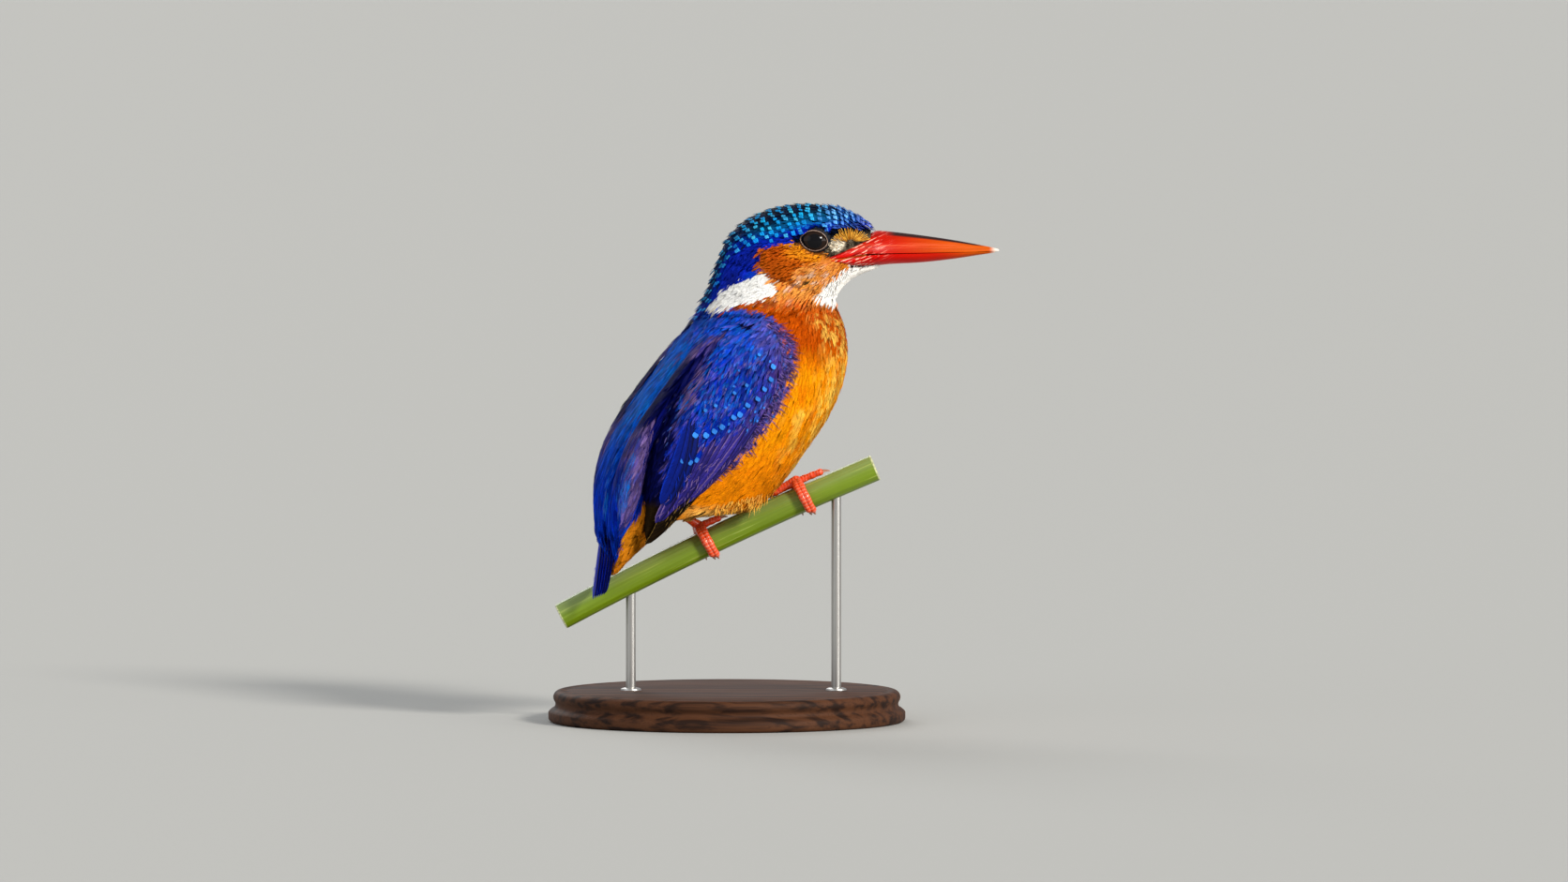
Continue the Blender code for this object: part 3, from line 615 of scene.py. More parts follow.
class Template:
    """The mesh of one feather: across in half-widths, along from root to tip, rise in
    half-widths, and how far each point takes the mark's colour and the shaft's."""

    def __init__(self):
        self.points, self.faces = [], []

    def point(self, across, along, rise=0.0, mark=0.0, dark=0.0):
        self.points.append((across, along, rise, mark, dark))
        return len(self.points) - 1

    def strand(self, start, end, width, rise, mark=0.0, curl=0.0, dark=0.0):
        """A barb that tapers from a place on the feather to another."""
        (a0, l0), (a1, l1) = start, end
        am, lm = (a0 + a1) / 2 + curl, (l0 + l1) / 2
        a, b = (self.point(a0 + w, l0, rise, mark * 0.5, dark) for w in (-width, width))
        c, d = (self.point(am + w * 0.9, lm, rise * 1.25, mark, dark * 0.7) for w in (-width, width))
        tip = self.point(a1, l1, rise * 0.9, mark, dark * 0.4)
        self.faces += [(a, b, d), (a, d, c), (c, d, tip)]

    def blade(self, profile, camber, columns, mark, lift=0.0, dark=lambda across, along: 0.0):
        """A closed web: profile gives half-width by share of the length."""
        shares = np.arange(-columns, columns + 1) / columns
        rows = [[self.point(half * c, along, lift - camber * (half * c) ** 2, mark(c, along),
                            dark(c, along)) for c in shares] for along, half in profile]
        for low, high in zip(rows, rows[1:]):
            for a, b, c, d in zip(low, low[1:], high[1:], high):
                self.faces += [(a, b, c), (a, c, d)]

    def arrays(self):
        return np.array(self.points, float), np.array(self.faces, np.int32)


def soft_kinds(number, rng, strands, spread=1.0, core=0.55, fine=0.13, spot=None, gloom=0.25):
    """Loose body feathers: a narrow web and barbs that run past it, each of its own shade.
    spot is the stretch of its length that takes the whole of the mark's colour, and gloom
    how dark some barbs are."""
    made = []
    for _ in range(number):
        web = Template()
        web.blade([(0.0, 0.3 * core), (0.35, core), (0.7, core * 0.8), (0.9, core * 0.25)], 0.06, 1,
                  lambda across, along: 0.3)
        for index in range(strands):
            place = -1 + 2 * (index + 0.5) / strands
            start = (place * 0.4, rng.uniform(0.05, 0.3))
            reach = 1.0 - 0.30 * abs(place) ** 1.6 + rng.normal(0, 0.05)
            end = (place * spread * rng.uniform(0.8, 1.1), reach)
            shade = rng.random() ** 1.5
            dark = np.clip(rng.normal(-0.1, gloom), 0.0, 0.6)
            web.strand(start, end, fine * rng.uniform(0.8, 1.25), rng.uniform(0.02, 0.10),
                       shade, place * 0.12, dark)
        if spot:
            low, high = spot
            web.blade([(low, 0.42), (low + 0.05, 0.6), (high - 0.06, 0.56), (high, 0.3)], 0.0, 1,
                      lambda across, along: 2.0, 0.16)
        made.append(web.arrays())
    return made


def firm_kinds(rng, mark_from, mark_to, mark_half):
    """Six firm rounded coverts, with a mark near the tip and barbs that fray the edge."""
    def lit(across, along):
        return float(mark_from < along < mark_to and abs(across) <= mark_half)

    made = []
    for _ in range(6):
        web = Template()
        profile = [(0.0, 0.3), (0.3, 0.85), (mark_from, 1.0), (mark_from + 0.04, 1.0),
                   (mark_to - 0.04, 0.72), (mark_to, 0.58), (1.0, 0.12)]
        web.blade([(along, half * (1 + rng.normal(0, 0.05))) for along, half in profile], 0.14, 3, lit)
        for place in np.linspace(-0.85, 0.85, 4):
            ahead = 1.02 - 0.22 * place * place + rng.uniform(-0.05, 0.08)
            web.strand((place * 0.8, 0.6), (place * 1.1, ahead), 0.07, 0.03)
        made.append(web.arrays())
    return made


def vane_kinds(number, rng, blunt=0.72):
    """Long flight feathers: two webs with pale edges and a dark raised shaft."""
    made, rows = [], 16
    for _ in range(number):
        web, profile, last = Template(), [], None
        for along in np.arange(rows + 1) / rows:
            half = 0.55 + 0.45 * min(along / 0.4, 1.0)
            if along > blunt:
                half *= math.sqrt(max(1 - ((along - blunt) / (1.0 - blunt)) ** 2, 0.0))
            profile.append((along, max(half * (1 + rng.normal(0, 0.03)), 0.04)))
        web.blade(profile, 0.12, 4, lambda across, along: smooth(0.7, 1.0, across), 0.0,
                  lambda across, along: smooth(-0.55, -0.9, across))
        for along in np.arange(0, rows, 2) / rows:
            width = 0.045 * (1.2 - along)
            pair = [web.point(w, along, 0.05, 0, 1) for w in (-width, width)]
            if last:
                web.faces += [(last[0], last[1], pair[1]), (last[0], pair[1], pair[0])]
            last = pair
        for index in range(8):
            along, edge = rng.uniform(0.25, 0.9), (1 if index % 2 else -1)
            end = (edge * 1.12, along + rng.uniform(0.05, 0.09))
            web.strand((edge * 0.7, along), end, 0.05, 0.02, 1.0)
        made.append(web.arrays())
    return made


def jitter(lies, normals, amount, rng):
    """The same directions, each turned a little at random in the surface."""
    return unit(lies + np.cross(normals, lies) * rng.normal(0, amount, (len(lies), 1)))


FEATHER_PATCH = 0.0015  # how large a feather lies on the skin's unwrap
LONGEST = 1.25  # how far a feather may be stretched to reach over the form
SPLAY = 0.22  # how far a feather's edges turn out to take the light


class Coat:
    """Gathers feathers for one piece and makes it a mesh."""

    def __init__(self, name, finish, slot, rng):
        self.name, self.finish, self.slot, self.rng = name, finish, slot, rng
        self.layers, self.count = [], 0

    def scatter(self, x, z, sign, way, size, kinds, base, tip, rise, mark, sunk=0.0, **rest):
        """Sets feathers at places of the side view, along a way of that view."""
        roots, normals = body.form.seen_from_side(x, z, sign)
        lies = flat(side_way(x, z, *way), normals)
        self.grow(roots - normals * sunk * MM, normals, lies, size, kinds, base, tip, rise, mark,
                  raised=0.0, **rest)
        return roots, normals, lies

    def grow(self, roots, normals, lies, size, kinds, base, tip, rise, mark,
             shade=(0.84, 1.12), raised=0.25, own=0.3, **rest):
        """Sets feathers on roots. size is length and half-width in mm, rise the range in mm
        by which tips stand over the form, and raised the height of roots over the skin."""
        if not len(roots):
            return
        rng, number = self.rng, len(roots)
        roots = roots + normals * raised * MM
        lengths, halves = (np.broadcast_to(s, number) * MM for s in size)
        lengths = (lengths * rng.uniform(0.82, 1.15, number))[:, None]
        tips, tip_normals, _ = body.form.nearest(roots + lies * lengths)
        stand = rng.uniform(*rise, number)[:, None] * MM
        tips = tips + tip_normals * stand
        reach = np.linalg.norm(tips - roots, axis=1, keepdims=True)
        tips = roots + (tips - roots) * np.minimum(LONGEST * lengths / reach, 1.0)
        middles = (roots + tips) / 2
        over, over_normals, _ = body.form.nearest(middles)
        control = 2 * (over + over_normals * (0.35 * stand - 0.12 * MM)) - middles
        low = np.sum((control - middles) * normals, 1, keepdims=True)
        control += normals * np.maximum(-low, 0)
        self.lay(roots, control, tips, normals, tip_normals, halves, kinds, base, tip, mark, shade,
                 own, **rest)

    def lay(self, roots, control, tips, normals, tip_normals, halves, kinds, base, tip, mark,
            shade=(0.85, 1.1), own=0.4, spots=None, toward=None):
        """Sets feathers along curves from roots to tips. own is how far a feather's own
        tilt, and not the form under it, sets how it takes the light; toward turns it more."""
        rng = self.rng
        chosen = rng.integers(0, len(kinds), len(roots))
        halves = np.broadcast_to(halves, len(roots))
        for index, (shape, faces) in enumerate(kinds):
            these = np.flatnonzero(chosen == index)
            if not len(these):
                continue
            across, along, up, marks, darks = (column[None, :, None] for column in shape.T)
            r, c, t, n0, n1, first, last, lit = (v[these][:, None] for v in (
                roots, control, tips, normals, tip_normals, base, tip, mark))
            middle = (1 - along) ** 2 * r + 2 * along * (1 - along) * c + along**2 * t
            way = unit(2 * (1 - along) * (c - r) + 2 * along * (t - c))
            under = unit(n0 * (1 - along) + n1 * along)
            out = unit(np.cross(way, under))
            normal = np.cross(out, way)
            half = halves[these][:, None, None]
            facing = under * (1 - own) + normal * own + out * across * SPLAY
            if toward is not None:
                facing = facing + toward[these][:, None]
            # Each feather takes a random tone, and is a little darker towards its root: painted shade
            # under the feathers that lie over it.
            glow = rng.uniform(*shade, half.shape) * (0.9 + 0.12 * along)
            colours = layered(first, (last, along[..., 0] ** 1.5),
                              (lit, np.minimum(marks[..., 0], 1)))
            if spots is not None:
                colours = mix(colours, spots[these][:, None], marks[..., 0] > 1.5)
            reach = np.linalg.norm(t - r, axis=-1, keepdims=True)
            same = np.ones(half.shape)
            homes = np.concatenate((across * same, 2 * along * same), -1) * FEATHER_PATCH
            vanes = np.concatenate((across * half, along * reach), -1) / MM
            vanes[..., 1:] += rng.uniform(0, 40, half.shape)
            number, size = middle.shape[:2]
            starts = self.count + np.arange(number)[:, None, None] * size
            self.count += number * size
            self.layers.append([v.reshape(-1, v.shape[-1]) for v in (
                middle + out * across * half + normal * up * half, faces + starts,
                np.clip(colours * (1 - 0.85 * darks) * glow, 0, 1),
                unwrap(roots[these])[:, None] + homes, vanes, unit(facing))])

    def build(self, *replaced):
        points, faces, colours, homes, vanes, normals = (np.concatenate(v) for v in zip(*self.layers))
        piece = fresh(self.name, points, faces)
        paint(piece.data, colours)
        set_uv(piece.data, "OFBake", homes)
        set_uv(piece.data, "Vane", vanes)
        piece.data.shade_smooth()
        piece.data.normals_split_custom_set_from_vertices(normals)
        settle(piece, self.finish, self.slot, *replaced)


def thin(points, spacing, rng):
    """The numbers of points kept so that none is nearer to another than its spacing."""
    spacing = np.broadcast_to(np.asarray(spacing, float) * MM, len(points))
    keys = np.floor(points / float(spacing.max())).astype(int)
    grid, kept = {}, []
    steps = [(i, j, k) for i in (-1, 0, 1) for j in (-1, 0, 1) for k in (-1, 0, 1)]
    for index in rng.permutation(len(points)):
        at, (i, j, k), room = points[index], keys[index], spacing[index] ** 2
        near = (at - other for di, dj, dk in steps for other in grid.get((i + di, j + dj, k + dk), ()))
        if all(gap @ gap >= room for gap in near):
            grid.setdefault((i, j, k), []).append(at)
            kept.append(index)
    return np.array(kept, int)


STORE = 170000  # how many places the feathers are chosen from
GAPE_CORNER = (22.4, 103.9)
BARE_CORNER = 1.3  # how far about the gape's corner no feather stands, in mm
COVERED = 0.003  # a place with a hard part this near over it, in metres, takes no feather
body = None  # the Body, made with the skin and used by every coat


class Body:
    """What the feathers are set on: the skin, the outer form and a store of places."""

    def __init__(self, skin, rng):
        points, faces = mesh_arrays(skin.data)
        self.skin = Surface(points, faces)
        self.form, owner_of = solids_surface(FLESH + ("eye_left", "eye_right"))
        hard, _ = solids_surface(("bill_upper", "bill_lower", "eye_left", "eye_right"))
        corners = points[faces]
        cross = np.cross(corners[:, 1] - corners[:, 0], corners[:, 2] - corners[:, 0])
        area = np.linalg.norm(cross, axis=1)
        picks = rng.choice(len(area), STORE, p=area / area.sum())
        a, b = rng.random((2, STORE, 1))
        flip = a + b > 1
        a, b = np.where(flip, 1 - a, a), np.where(flip, 1 - b, b)
        tri = corners[picks]
        roots = tri[:, 0] + a * (tri[:, 1] - tri[:, 0]) + b * (tri[:, 2] - tri[:, 0])
        normals = unit(cross[picks])
        clear = np.array([hard.tree.ray_cast(Vector(p), Vector(n), COVERED)[0] is None
                          for p, n in zip(roots, normals)])
        x, aside, z = to_side(roots).T
        clear &= ~inside(GAPE, x, z) | (np.abs(aside) < 2.0)
        clear &= np.hypot(x - GAPE_CORNER[0], 1.6 * (z - GAPE_CORNER[1])) > BARE_CORNER
        self.roots, self.normals = roots[clear], normals[clear]
        self.owner = owner_of[self.form.nearest(self.roots)[2]]
        self.side = to_side(self.roots)
        self.region = regions_of(self.side, rng)
        self.lies = lie_at(self.roots, self.normals)

    def owned(self, *names):
        return np.isin(self.owner, [FLESH.index(name) for name in names])

    def marked(self, *names):
        return is_region(self.region, *names)

    def choose(self, mask, spacing, rng, turn=None):
        """Places of a mask, thinned to a spacing, with their normals and lies."""
        found = np.flatnonzero(mask)
        found = found[thin(self.roots[found], np.broadcast_to(spacing, len(mask))[found], rng)]
        normals, lies = self.normals[found], self.lies[found]
        return found, self.roots[found], normals, jitter(lies, normals, turn, rng) if turn else lies


def start(context, number):
    """The plumage's settings, and the random numbers of one step."""
    look = context.scene.kingfisher_plumage
    return look, np.random.default_rng(look.seed + number)


def tiled(colour, count):
    return np.tile(colour, (count, 1))


# ---------------------------------------------------------------- shader maths

class Wire:
    """A shader socket that can be used in sums."""

    def __init__(self, shop, socket):
        self.shop, self.socket = shop, socket

    def maths(self, operation, *values):
        return self.shop.node("ShaderNodeMath", {"operation": operation}, *values)

    def __add__(self, other):
        return self.maths("ADD", self, other)

    def __sub__(self, other):
        return self.maths("SUBTRACT", self, other)

    def __rsub__(self, other):
        return self.maths("SUBTRACT", other, self)

    def __mul__(self, other):
        return self.maths("MULTIPLY", self, other)

    def __pow__(self, other):
        return self.maths("POWER", self, other)

    __radd__, __rmul__ = __add__, __mul__

    def sine(self):
        return self.maths("SINE", self)

    def part(self, low, high):
        """0 below low, 1 above high, and smooth between."""
        return self.shop.node(
            "ShaderNodeMapRange", {"interpolation_type": "SMOOTHSTEP"}, self, low, high
        )


class Finish:
    """A material in the making."""

    def __init__(self, name, roughness=0.5, metallic=0.0, **fixed):
        self.material = bpy.data.materials.new(name)
        self.material.use_nodes = True
        self.tree = self.material.node_tree
        self.shader = self.tree.nodes["Principled BSDF"]
        self.shader.inputs["Roughness"].default_value = roughness
        self.shader.inputs["Metallic"].default_value = metallic
        for key, value in fixed.items():
            self.shader.inputs[key.replace("_", " ")].default_value = value
        self.place = self.node("ShaderNodeTexCoord", {}, out="Object")

    def node(self, kind, settings, *values, out=0, **named):
        """Adds a node: its settings first, then its sockets by order or by name."""
        made = self.tree.nodes.new(kind)
        for key, value in settings.items():
            setattr(made, key, value)
        for index, value in enumerate(values):
            self.feed(made.inputs[index], value)
        for key, value in named.items():
            self.feed(made.inputs[key], value)
        return Wire(self, made.outputs[out])

    def feed(self, socket, value):
        if isinstance(value, Wire):
            self.tree.links.new(value.socket, socket)
        elif socket.type == "RGBA" and len(value) == 3:
            socket.default_value = (*value, 1.0)
        else:
            socket.default_value = value

    def stored(self, name, out="Vector"):
        """What the mesh keeps at each point under a name."""
        return self.node("ShaderNodeAttribute", {"attribute_name": name}, out=out)

    def at(self, x, y, z):
        return self.node("ShaderNodeCombineXYZ", {}, x, y, z)

    def noise(self, scale, detail=3.0, vector=None, stretch=None):
        vector = vector or self.place
        if stretch:
            vector = self.node("ShaderNodeMapping", {}, vector, Scale=stretch)
        return self.node("ShaderNodeTexNoise", {}, out="Fac", Vector=vector, Scale=scale,
                         Detail=detail)

    def mix(self, one, other, share):
        made = self.tree.nodes.new("ShaderNodeMix")
        made.data_type = "RGBA"
        for socket, value in ((made.inputs[0], share), (made.inputs[6], one),
                              (made.inputs[7], other)):
            self.feed(socket, value)
        return Wire(self, made.outputs[2])

    def scaled(self, colour, amount):
        """A colour made lighter or darker by an amount."""
        return self.node("ShaderNodeVectorMath", {"operation": "SCALE"}, colour, Scale=amount)

    def axis(self, name, vector=None):
        return self.node("ShaderNodeSeparateXYZ", {}, vector or self.place, out=name)

    def set(self, colour=None, roughness=None, bump=None, strength=0.3, distance=0.0001):
        if colour is not None:
            self.feed(self.shader.inputs["Base Color"], colour)
        if roughness is not None:
            self.feed(self.shader.inputs["Roughness"], roughness)
        if bump is not None:
            normal = self.node("ShaderNodeBump", {}, out="Normal", Height=bump,
                               Strength=strength, Distance=distance)
            self.feed(self.shader.inputs["Normal"], normal)
        return self.material


def plumage_finish(name, roughness, barb, gloss):
    """Feathers: their own colour, with fine barbs that run out slantwise from the shaft."""
    made = Finish(name, roughness, Specular_IOR_Level=gloss)
    colour = made.stored("Plumage", "Color")
    vane = made.node("ShaderNodeUVMap", {"uv_map": "Vane"})
    across, along = made.axis("X", vane), made.axis("Y", vane)
    apart = made.node("ShaderNodeMath", {"operation": "ABSOLUTE"}, across)
    slant = along - apart * 1.4
    lines = made.at(slant * barb, across * 1.3, along * 0.15)
    barbs = made.noise(1.0, 2.0, lines)
    shade = made.scaled(colour, 1 - (1 - barbs).part(0.45, 0.80) * 0.5)
    lit = made.scaled(shade, 1 + barbs.part(0.54, 0.78) * 0.45)
    cloud = made.noise(260.0, 3.0)
    final = made.scaled(lit, 1 - cloud.part(0.5, 0.75) * 0.22)
    rough = (barbs - 0.5) * 0.25 + roughness
    return made.set(final, rough, barbs, 0.25, 0.00006)


def skin_finish():
    made = Finish("skin_under_feathers", 0.7, Specular_IOR_Level=0.02)
    colour = made.stored("Plumage", "Color")
    fluff = made.noise(1400.0, 4.0)
    # The skin is darkened in a fine fluffy grain, partly the down's texture and partly painted shade
    # between the feathers.
    return made.set(made.scaled(colour, fluff.part(0.35, 0.65) * 0.25 + 0.75), None, fluff, 0.5,
                    0.0002)


def bill_finish(horn):
    """Glossy horn: orange outwards, a dark ridge, pale folds at the gape, a white tip."""
    made = Finish("bill_horn", 0.28, Specular_IOR_Level=0.1, Coat_Weight=0.02,
                  Coat_Roughness=0.08)
    place = made.stored("Place")
    up = made.axis("Y", place)
    x, z = made.axis("X") * 1000.0, made.axis("Z") * 1000.0
    lower = 1 - z.part(105.0, 105.5)
    side = made.mix(horn.bill, horn.bill_tip, x.part(34.0, 56.0))
    colour = made.mix(side, horn.bill_lower, lower * (1 - x.part(46.0, 58.0)) * 0.85)
    seam = made.noise(1.0, 3.0, made.at(x * 0.12, z * 2.4, 0.0))
    colour = made.scaled(colour, seam * 0.5 + 0.75)
    fold = made.at(x * 0.3 + z * 0.15, z * 2.6 - x * 1.1, 0.0)
    folds = made.noise(1.0, 3.0, fold)
    near = (1 - x.part(30.0, 38.0)) * folds.part(0.57, 0.60)
    colour = made.mix(colour, horn.gape, near * 0.9)
    # Painted shade in the grooves between the folds near the gape.
    groove_shade = (1 - folds).part(0.54, 0.62) * (1 - x.part(31.0, 39.0))
    colour = made.scaled(colour, 1 - groove_shade * 0.6)
    # Painted highlight: a streaky paler band along the flank of the upper half.
    gleam = made.noise(1.0, 2.0, made.at(x * 0.1, z * 5.0, 0.0))
    gleam_band = z.part(105.9, 106.5) * (1 - z.part(106.9, 107.6)) * (1 - x.part(48.0, 58.0))
    colour = made.mix(colour, (0.95, 0.16, 0.06), gleam_band * gleam.part(0.45, 0.62) * 0.5)
    dark = up.part(0.80, 0.90) * x.part(34.5, 38.0) * (1 - x.part(55.0, 58.5))
    colour = made.mix(colour, horn.ridge, dark * z.part(105.5, 106.2))
    colour = made.mix(colour, (0.85, 0.80, 0.70), x.part(58.6, 60.4) * 0.9)
    return made.set(colour, seam * 0.2 + 0.26, folds + seam * 0.6, 0.4, 0.00018)


def eye_finish(horn):
    """A black pupil in a dark iris, under a wet clear surface."""
    made = Finish("eye_gloss", 0.1, Specular_IOR_Level=0.05, Coat_Weight=0.25,
                  Coat_Roughness=0.03)
    middle = EYES["right"][0]
    aside = (made.axis("X") - middle.x) * 1000.0
    above = (made.axis("Z") - middle.z) * 1000.0
    apart = (aside * aside + above * above) ** 0.5
    ring = apart.part(1.55, 1.75) * (1 - apart.part(2.4, 2.9))
    colour = made.mix((0.003, 0.003, 0.004), horn.iris, ring * 0.6)
    return made.set(colour)


def lid_finish(horn):
    made = Finish("eyelid", 0.45)
    beads = made.noise(2600.0, 1.0)
    colour = made.mix(made.scaled(horn.lid, 0.45), horn.lid, beads.part(0.42, 0.58))
    return made.set(colour, None, beads, 0.6, 0.0002)


def surround_finish(look):
    """The dark fine-grained skin about the eye."""
    made = Finish("eye_surround", 0.55, Specular_IOR_Level=0.25)
    grain = made.noise(2200.0, 2.0)
    colour = made.mix(look.cap * 0.5, look.lore * 0.6, grain.part(0.5, 0.7) * 0.6)
    return made.set(colour, None, grain, 0.5, 0.0001)


def foot_finish(horn):
    """Wet-looking skin with pale edged scales across the toes."""
    made = Finish("foot_skin", 0.3, Specular_IOR_Level=0.35, Coat_Weight=0.45,
                  Coat_Roughness=0.1)
    place = made.stored("Place")
    along, up = made.axis("X", place), made.axis("Y", place)
    grain = made.noise(1500.0, 3.0)
    wave = ((along * 9.0 + grain * 2.5).sine() * 0.5 + 0.5) ** 3.0
    colour = made.mix(horn.foot, horn.foot_pale, grain.part(0.56, 0.74) * 0.35)
    # Pale scale edges, strongest on the side away from the stem: partly the scales' own colour, partly
    # painted highlight.
    colour = made.mix(colour, horn.foot_pale, wave * up.part(-0.2, 0.5) * 0.35)
    colour = made.scaled(colour, 1 - (1 - grain).part(0.52, 0.7) * 0.35)
    return made.set(colour, grain * 0.3 + 0.18, grain - wave * 0.6, 0.45, 0.00015)


def claw_finish(horn):
    made = Finish("claw_horn", 0.3, Coat_Weight=0.3)
    grain = made.noise(1800.0, 2.0)
    return made.set(made.mix(horn.claw, made.scaled(horn.claw, 0.4), grain), None, grain, 0.2)


def stem_finish(stand):
    """A smooth green sedge stem with long fibres and faint paler bands; pith at its ends."""
    made = Finish("green_stem", 0.42, Coat_Weight=0.08)
    place = made.stored("Place")
    along, up, out = (made.axis(name, place) for name in "XYZ")
    round_about = made.at(along * 0.05, up * 5.0, out * 5.0)
    fibre = made.noise(1.0, 4.0, round_about)
    cloud = made.noise(55.0, 2.0)
    # Painted light: the upper flank is paler and greyer than the lower.
    colour = made.mix(stand.stem, stand.stem_shade, up.part(-0.1, 0.75) * 0.8)
    colour = made.scaled(colour, fibre * 0.55 + 0.72)
    colour = made.mix(colour, stand.stem_ridge, fibre.part(0.60, 0.68) * 0.5)
    colour = made.mix(colour, made.scaled(stand.stem, 0.6), cloud.part(0.5, 0.7) * 0.4)
    ends = (along * along).part(38.6 ** 2, 38.75 ** 2)
    pith = made.mix(stand.pith, made.scaled(stand.pith, 0.55), made.noise(2400.0).part(0.4, 0.6))
    colour = made.mix(colour, pith, ends)
    return made.set(colour, fibre * 0.2 + 0.32, fibre, 0.4, 0.0002)


def wood_finish(stand):
    """Dark turned wood with its grain running across the base."""
    made = Finish("turned_wood", 0.6, Specular_IOR_Level=0.15)
    warp = made.noise(40.0, 2.0) * 0.012
    y = made.axis("Y") + warp
    z = made.axis("Z") * 1.5
    line = made.at(made.axis("X") * 14.0, y * 420.0, z * 420.0)
    grain = made.noise(1.0, 4.0, line)
    fine = made.noise(1.0, 2.0, made.at(
        made.axis("X") * 120.0, y * 2600.0, z * 2600.0))
    colour = made.mix(stand.wood, stand.wood_dark, grain.part(0.42, 0.66))
    colour = made.mix(colour, stand.wood_dark, fine.part(0.55, 0.75) * 0.5)
    return made.set(colour, fine * 0.2 + 0.55, fine, 0.15, 0.0001)


def steel_finish(stand):
    made = Finish("steel_rod", 0.32, 1.0)
    brushed = made.noise(1.0, 2.0, stretch=(3000.0, 3000.0, 30.0))
    return made.set(made.scaled(stand.steel, brushed * 0.3 + 0.8), brushed * 0.2 + 0.25)


def make_finishes(look, horn, stand):
    """Every material, by name."""
    return {
        "skin": skin_finish(),
        "soft": plumage_finish("soft_plumage", 0.7, 7.0, 0.02),
        "crown": plumage_finish("crown_plumage", 0.6, 8.0, 0.03),
        "glossy": plumage_finish("glossy_plumage", 0.55, 8.0, 0.03),
        "quill": plumage_finish("flight_plumage", 0.45, 5.0, 0.1),
        "bill": bill_finish(horn),
        "eye": eye_finish(horn),
        "lid": lid_finish(horn),
        "surround": surround_finish(look),
        "foot": foot_finish(horn),
        "claw": claw_finish(horn),
        "stem": stem_finish(stand),
        "wood": wood_finish(stand),
        "steel": steel_finish(stand),
    }


# ---------------------------------------------------------------- pieces

finishes = {}


def pick(*objects):
    """Selects only these, and makes the first the active one."""
    for other in bpy.context.view_layer.objects:
        other.select_set(False)
    for item in objects:
        item.select_set(True)
    bpy.context.view_layer.objects.active = objects[0]


def named(name):
    """Names the object that an operator has just made."""
    made = bpy.context.view_layer.objects.active
    made.name = made.data.name = name
    return made


def joined(name, parts):
    pick(*parts)
    bpy.ops.object.join()
    return named(name)


def apply(piece, kind, name, **settings):
    """Adds a modifier and applies it."""
    modifier = piece.modifiers.new(name, kind)
    for key, value in settings.items():
        setattr(modifier, key, value)
    pick(piece)
    bpy.ops.object.modifier_apply(modifier=name)


def edit(piece, step, **settings):
    """Runs a step of edit mode on the whole of a piece."""
    pick(piece)
    bpy.ops.object.mode_set(mode="EDIT")
    bpy.ops.mesh.select_all(action="SELECT")
    step(**settings)
    bpy.ops.object.mode_set(mode="OBJECT")


def points_of(piece):
    return np.array([v.co[:] for v in piece.data.vertices])


def move_points(piece, points):
    piece.data.vertices.foreach_set("co", points.ravel())
    piece.data.update()


def fresh(name, points, faces):
    """A new object from arrays of points and triangles."""
    mesh = bpy.data.meshes.new(name)
    mesh.vertices.add(len(points))
    mesh.vertices.foreach_set("co", points.astype(np.float32).ravel())
    mesh.loops.add(len(faces) * 3)
    mesh.loops.foreach_set("vertex_index", faces.astype(np.int32).ravel())
    mesh.polygons.add(len(faces))
    mesh.polygons.foreach_set("loop_start", np.arange(0, len(faces) * 3, 3, dtype=np.int32))
    mesh.update()
    piece = bpy.data.objects.new(name, mesh)
    bpy.context.scene.collection.objects.link(piece)
    return piece


def paint(mesh, colours):
    """Stores the plumage's colours on the mesh's points."""
    layer = mesh.color_attributes.new("Plumage", "FLOAT_COLOR", "POINT")
    values = np.ones((len(colours), 4), np.float32)
    values[:, :3] = colours
    layer.data.foreach_set("color", values.ravel())


def set_uv(mesh, name, places):
    """Stores a map that has one place for each point."""
    corners = np.zeros(len(mesh.loops), np.int32)
    mesh.loops.foreach_get("vertex_index", corners)
    layer = mesh.uv_layers.new(name=name)
    layer.data.foreach_set("uv", places[corners].astype(np.float32).ravel())


# The middle line of the bird, from bill to tail, along which the skin is unwrapped.
SPINE = ((36.0, 106.0), (12.0, 104.0), (8.0, 88.0), (-2.0, 68.0), (-14.0, 50.0), (-28.0, 28.0))


def unwrap(points):
    """Where points lie on the skin's unwrap: round the spine, and along it."""
    x, aside, z = to_side(points).T
    _, place, above, whole = beside(SPINE, x, z)
    angle = np.arctan2(aside, -above) / (2 * math.pi) + 0.5
    return np.stack((0.01 + 0.98 * angle, 0.05 + 0.9 * place / whole), 1)


def settle(piece, finish, slot, *replaced):
    """Gives a finished piece its material and its place in the frame."""
    piece.data.materials.clear()
    piece.data.materials.append(finishes[finish])
    if replaced:
        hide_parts(*replaced)
    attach(piece, "root")


# ---------------------------------------------------------------- skin

EYES = {}
EYE_STRETCH = np.array((1.2, 1.0, 0.95))  # how the eyeball is drawn out in x, y and z
EYE_SHIFT = Vector((-0.35, 0.0, 0.6))  # of the eyeball in its socket, in mm


def measure_eyes():
    """The middle and radius of each eye, from its node."""
    for side in SIDES:
        low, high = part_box(f"eye_{side}")
        EYES[side] = ((low + high) / 2 + EYE_SHIFT * MM, (high.x - low.x) / 2)


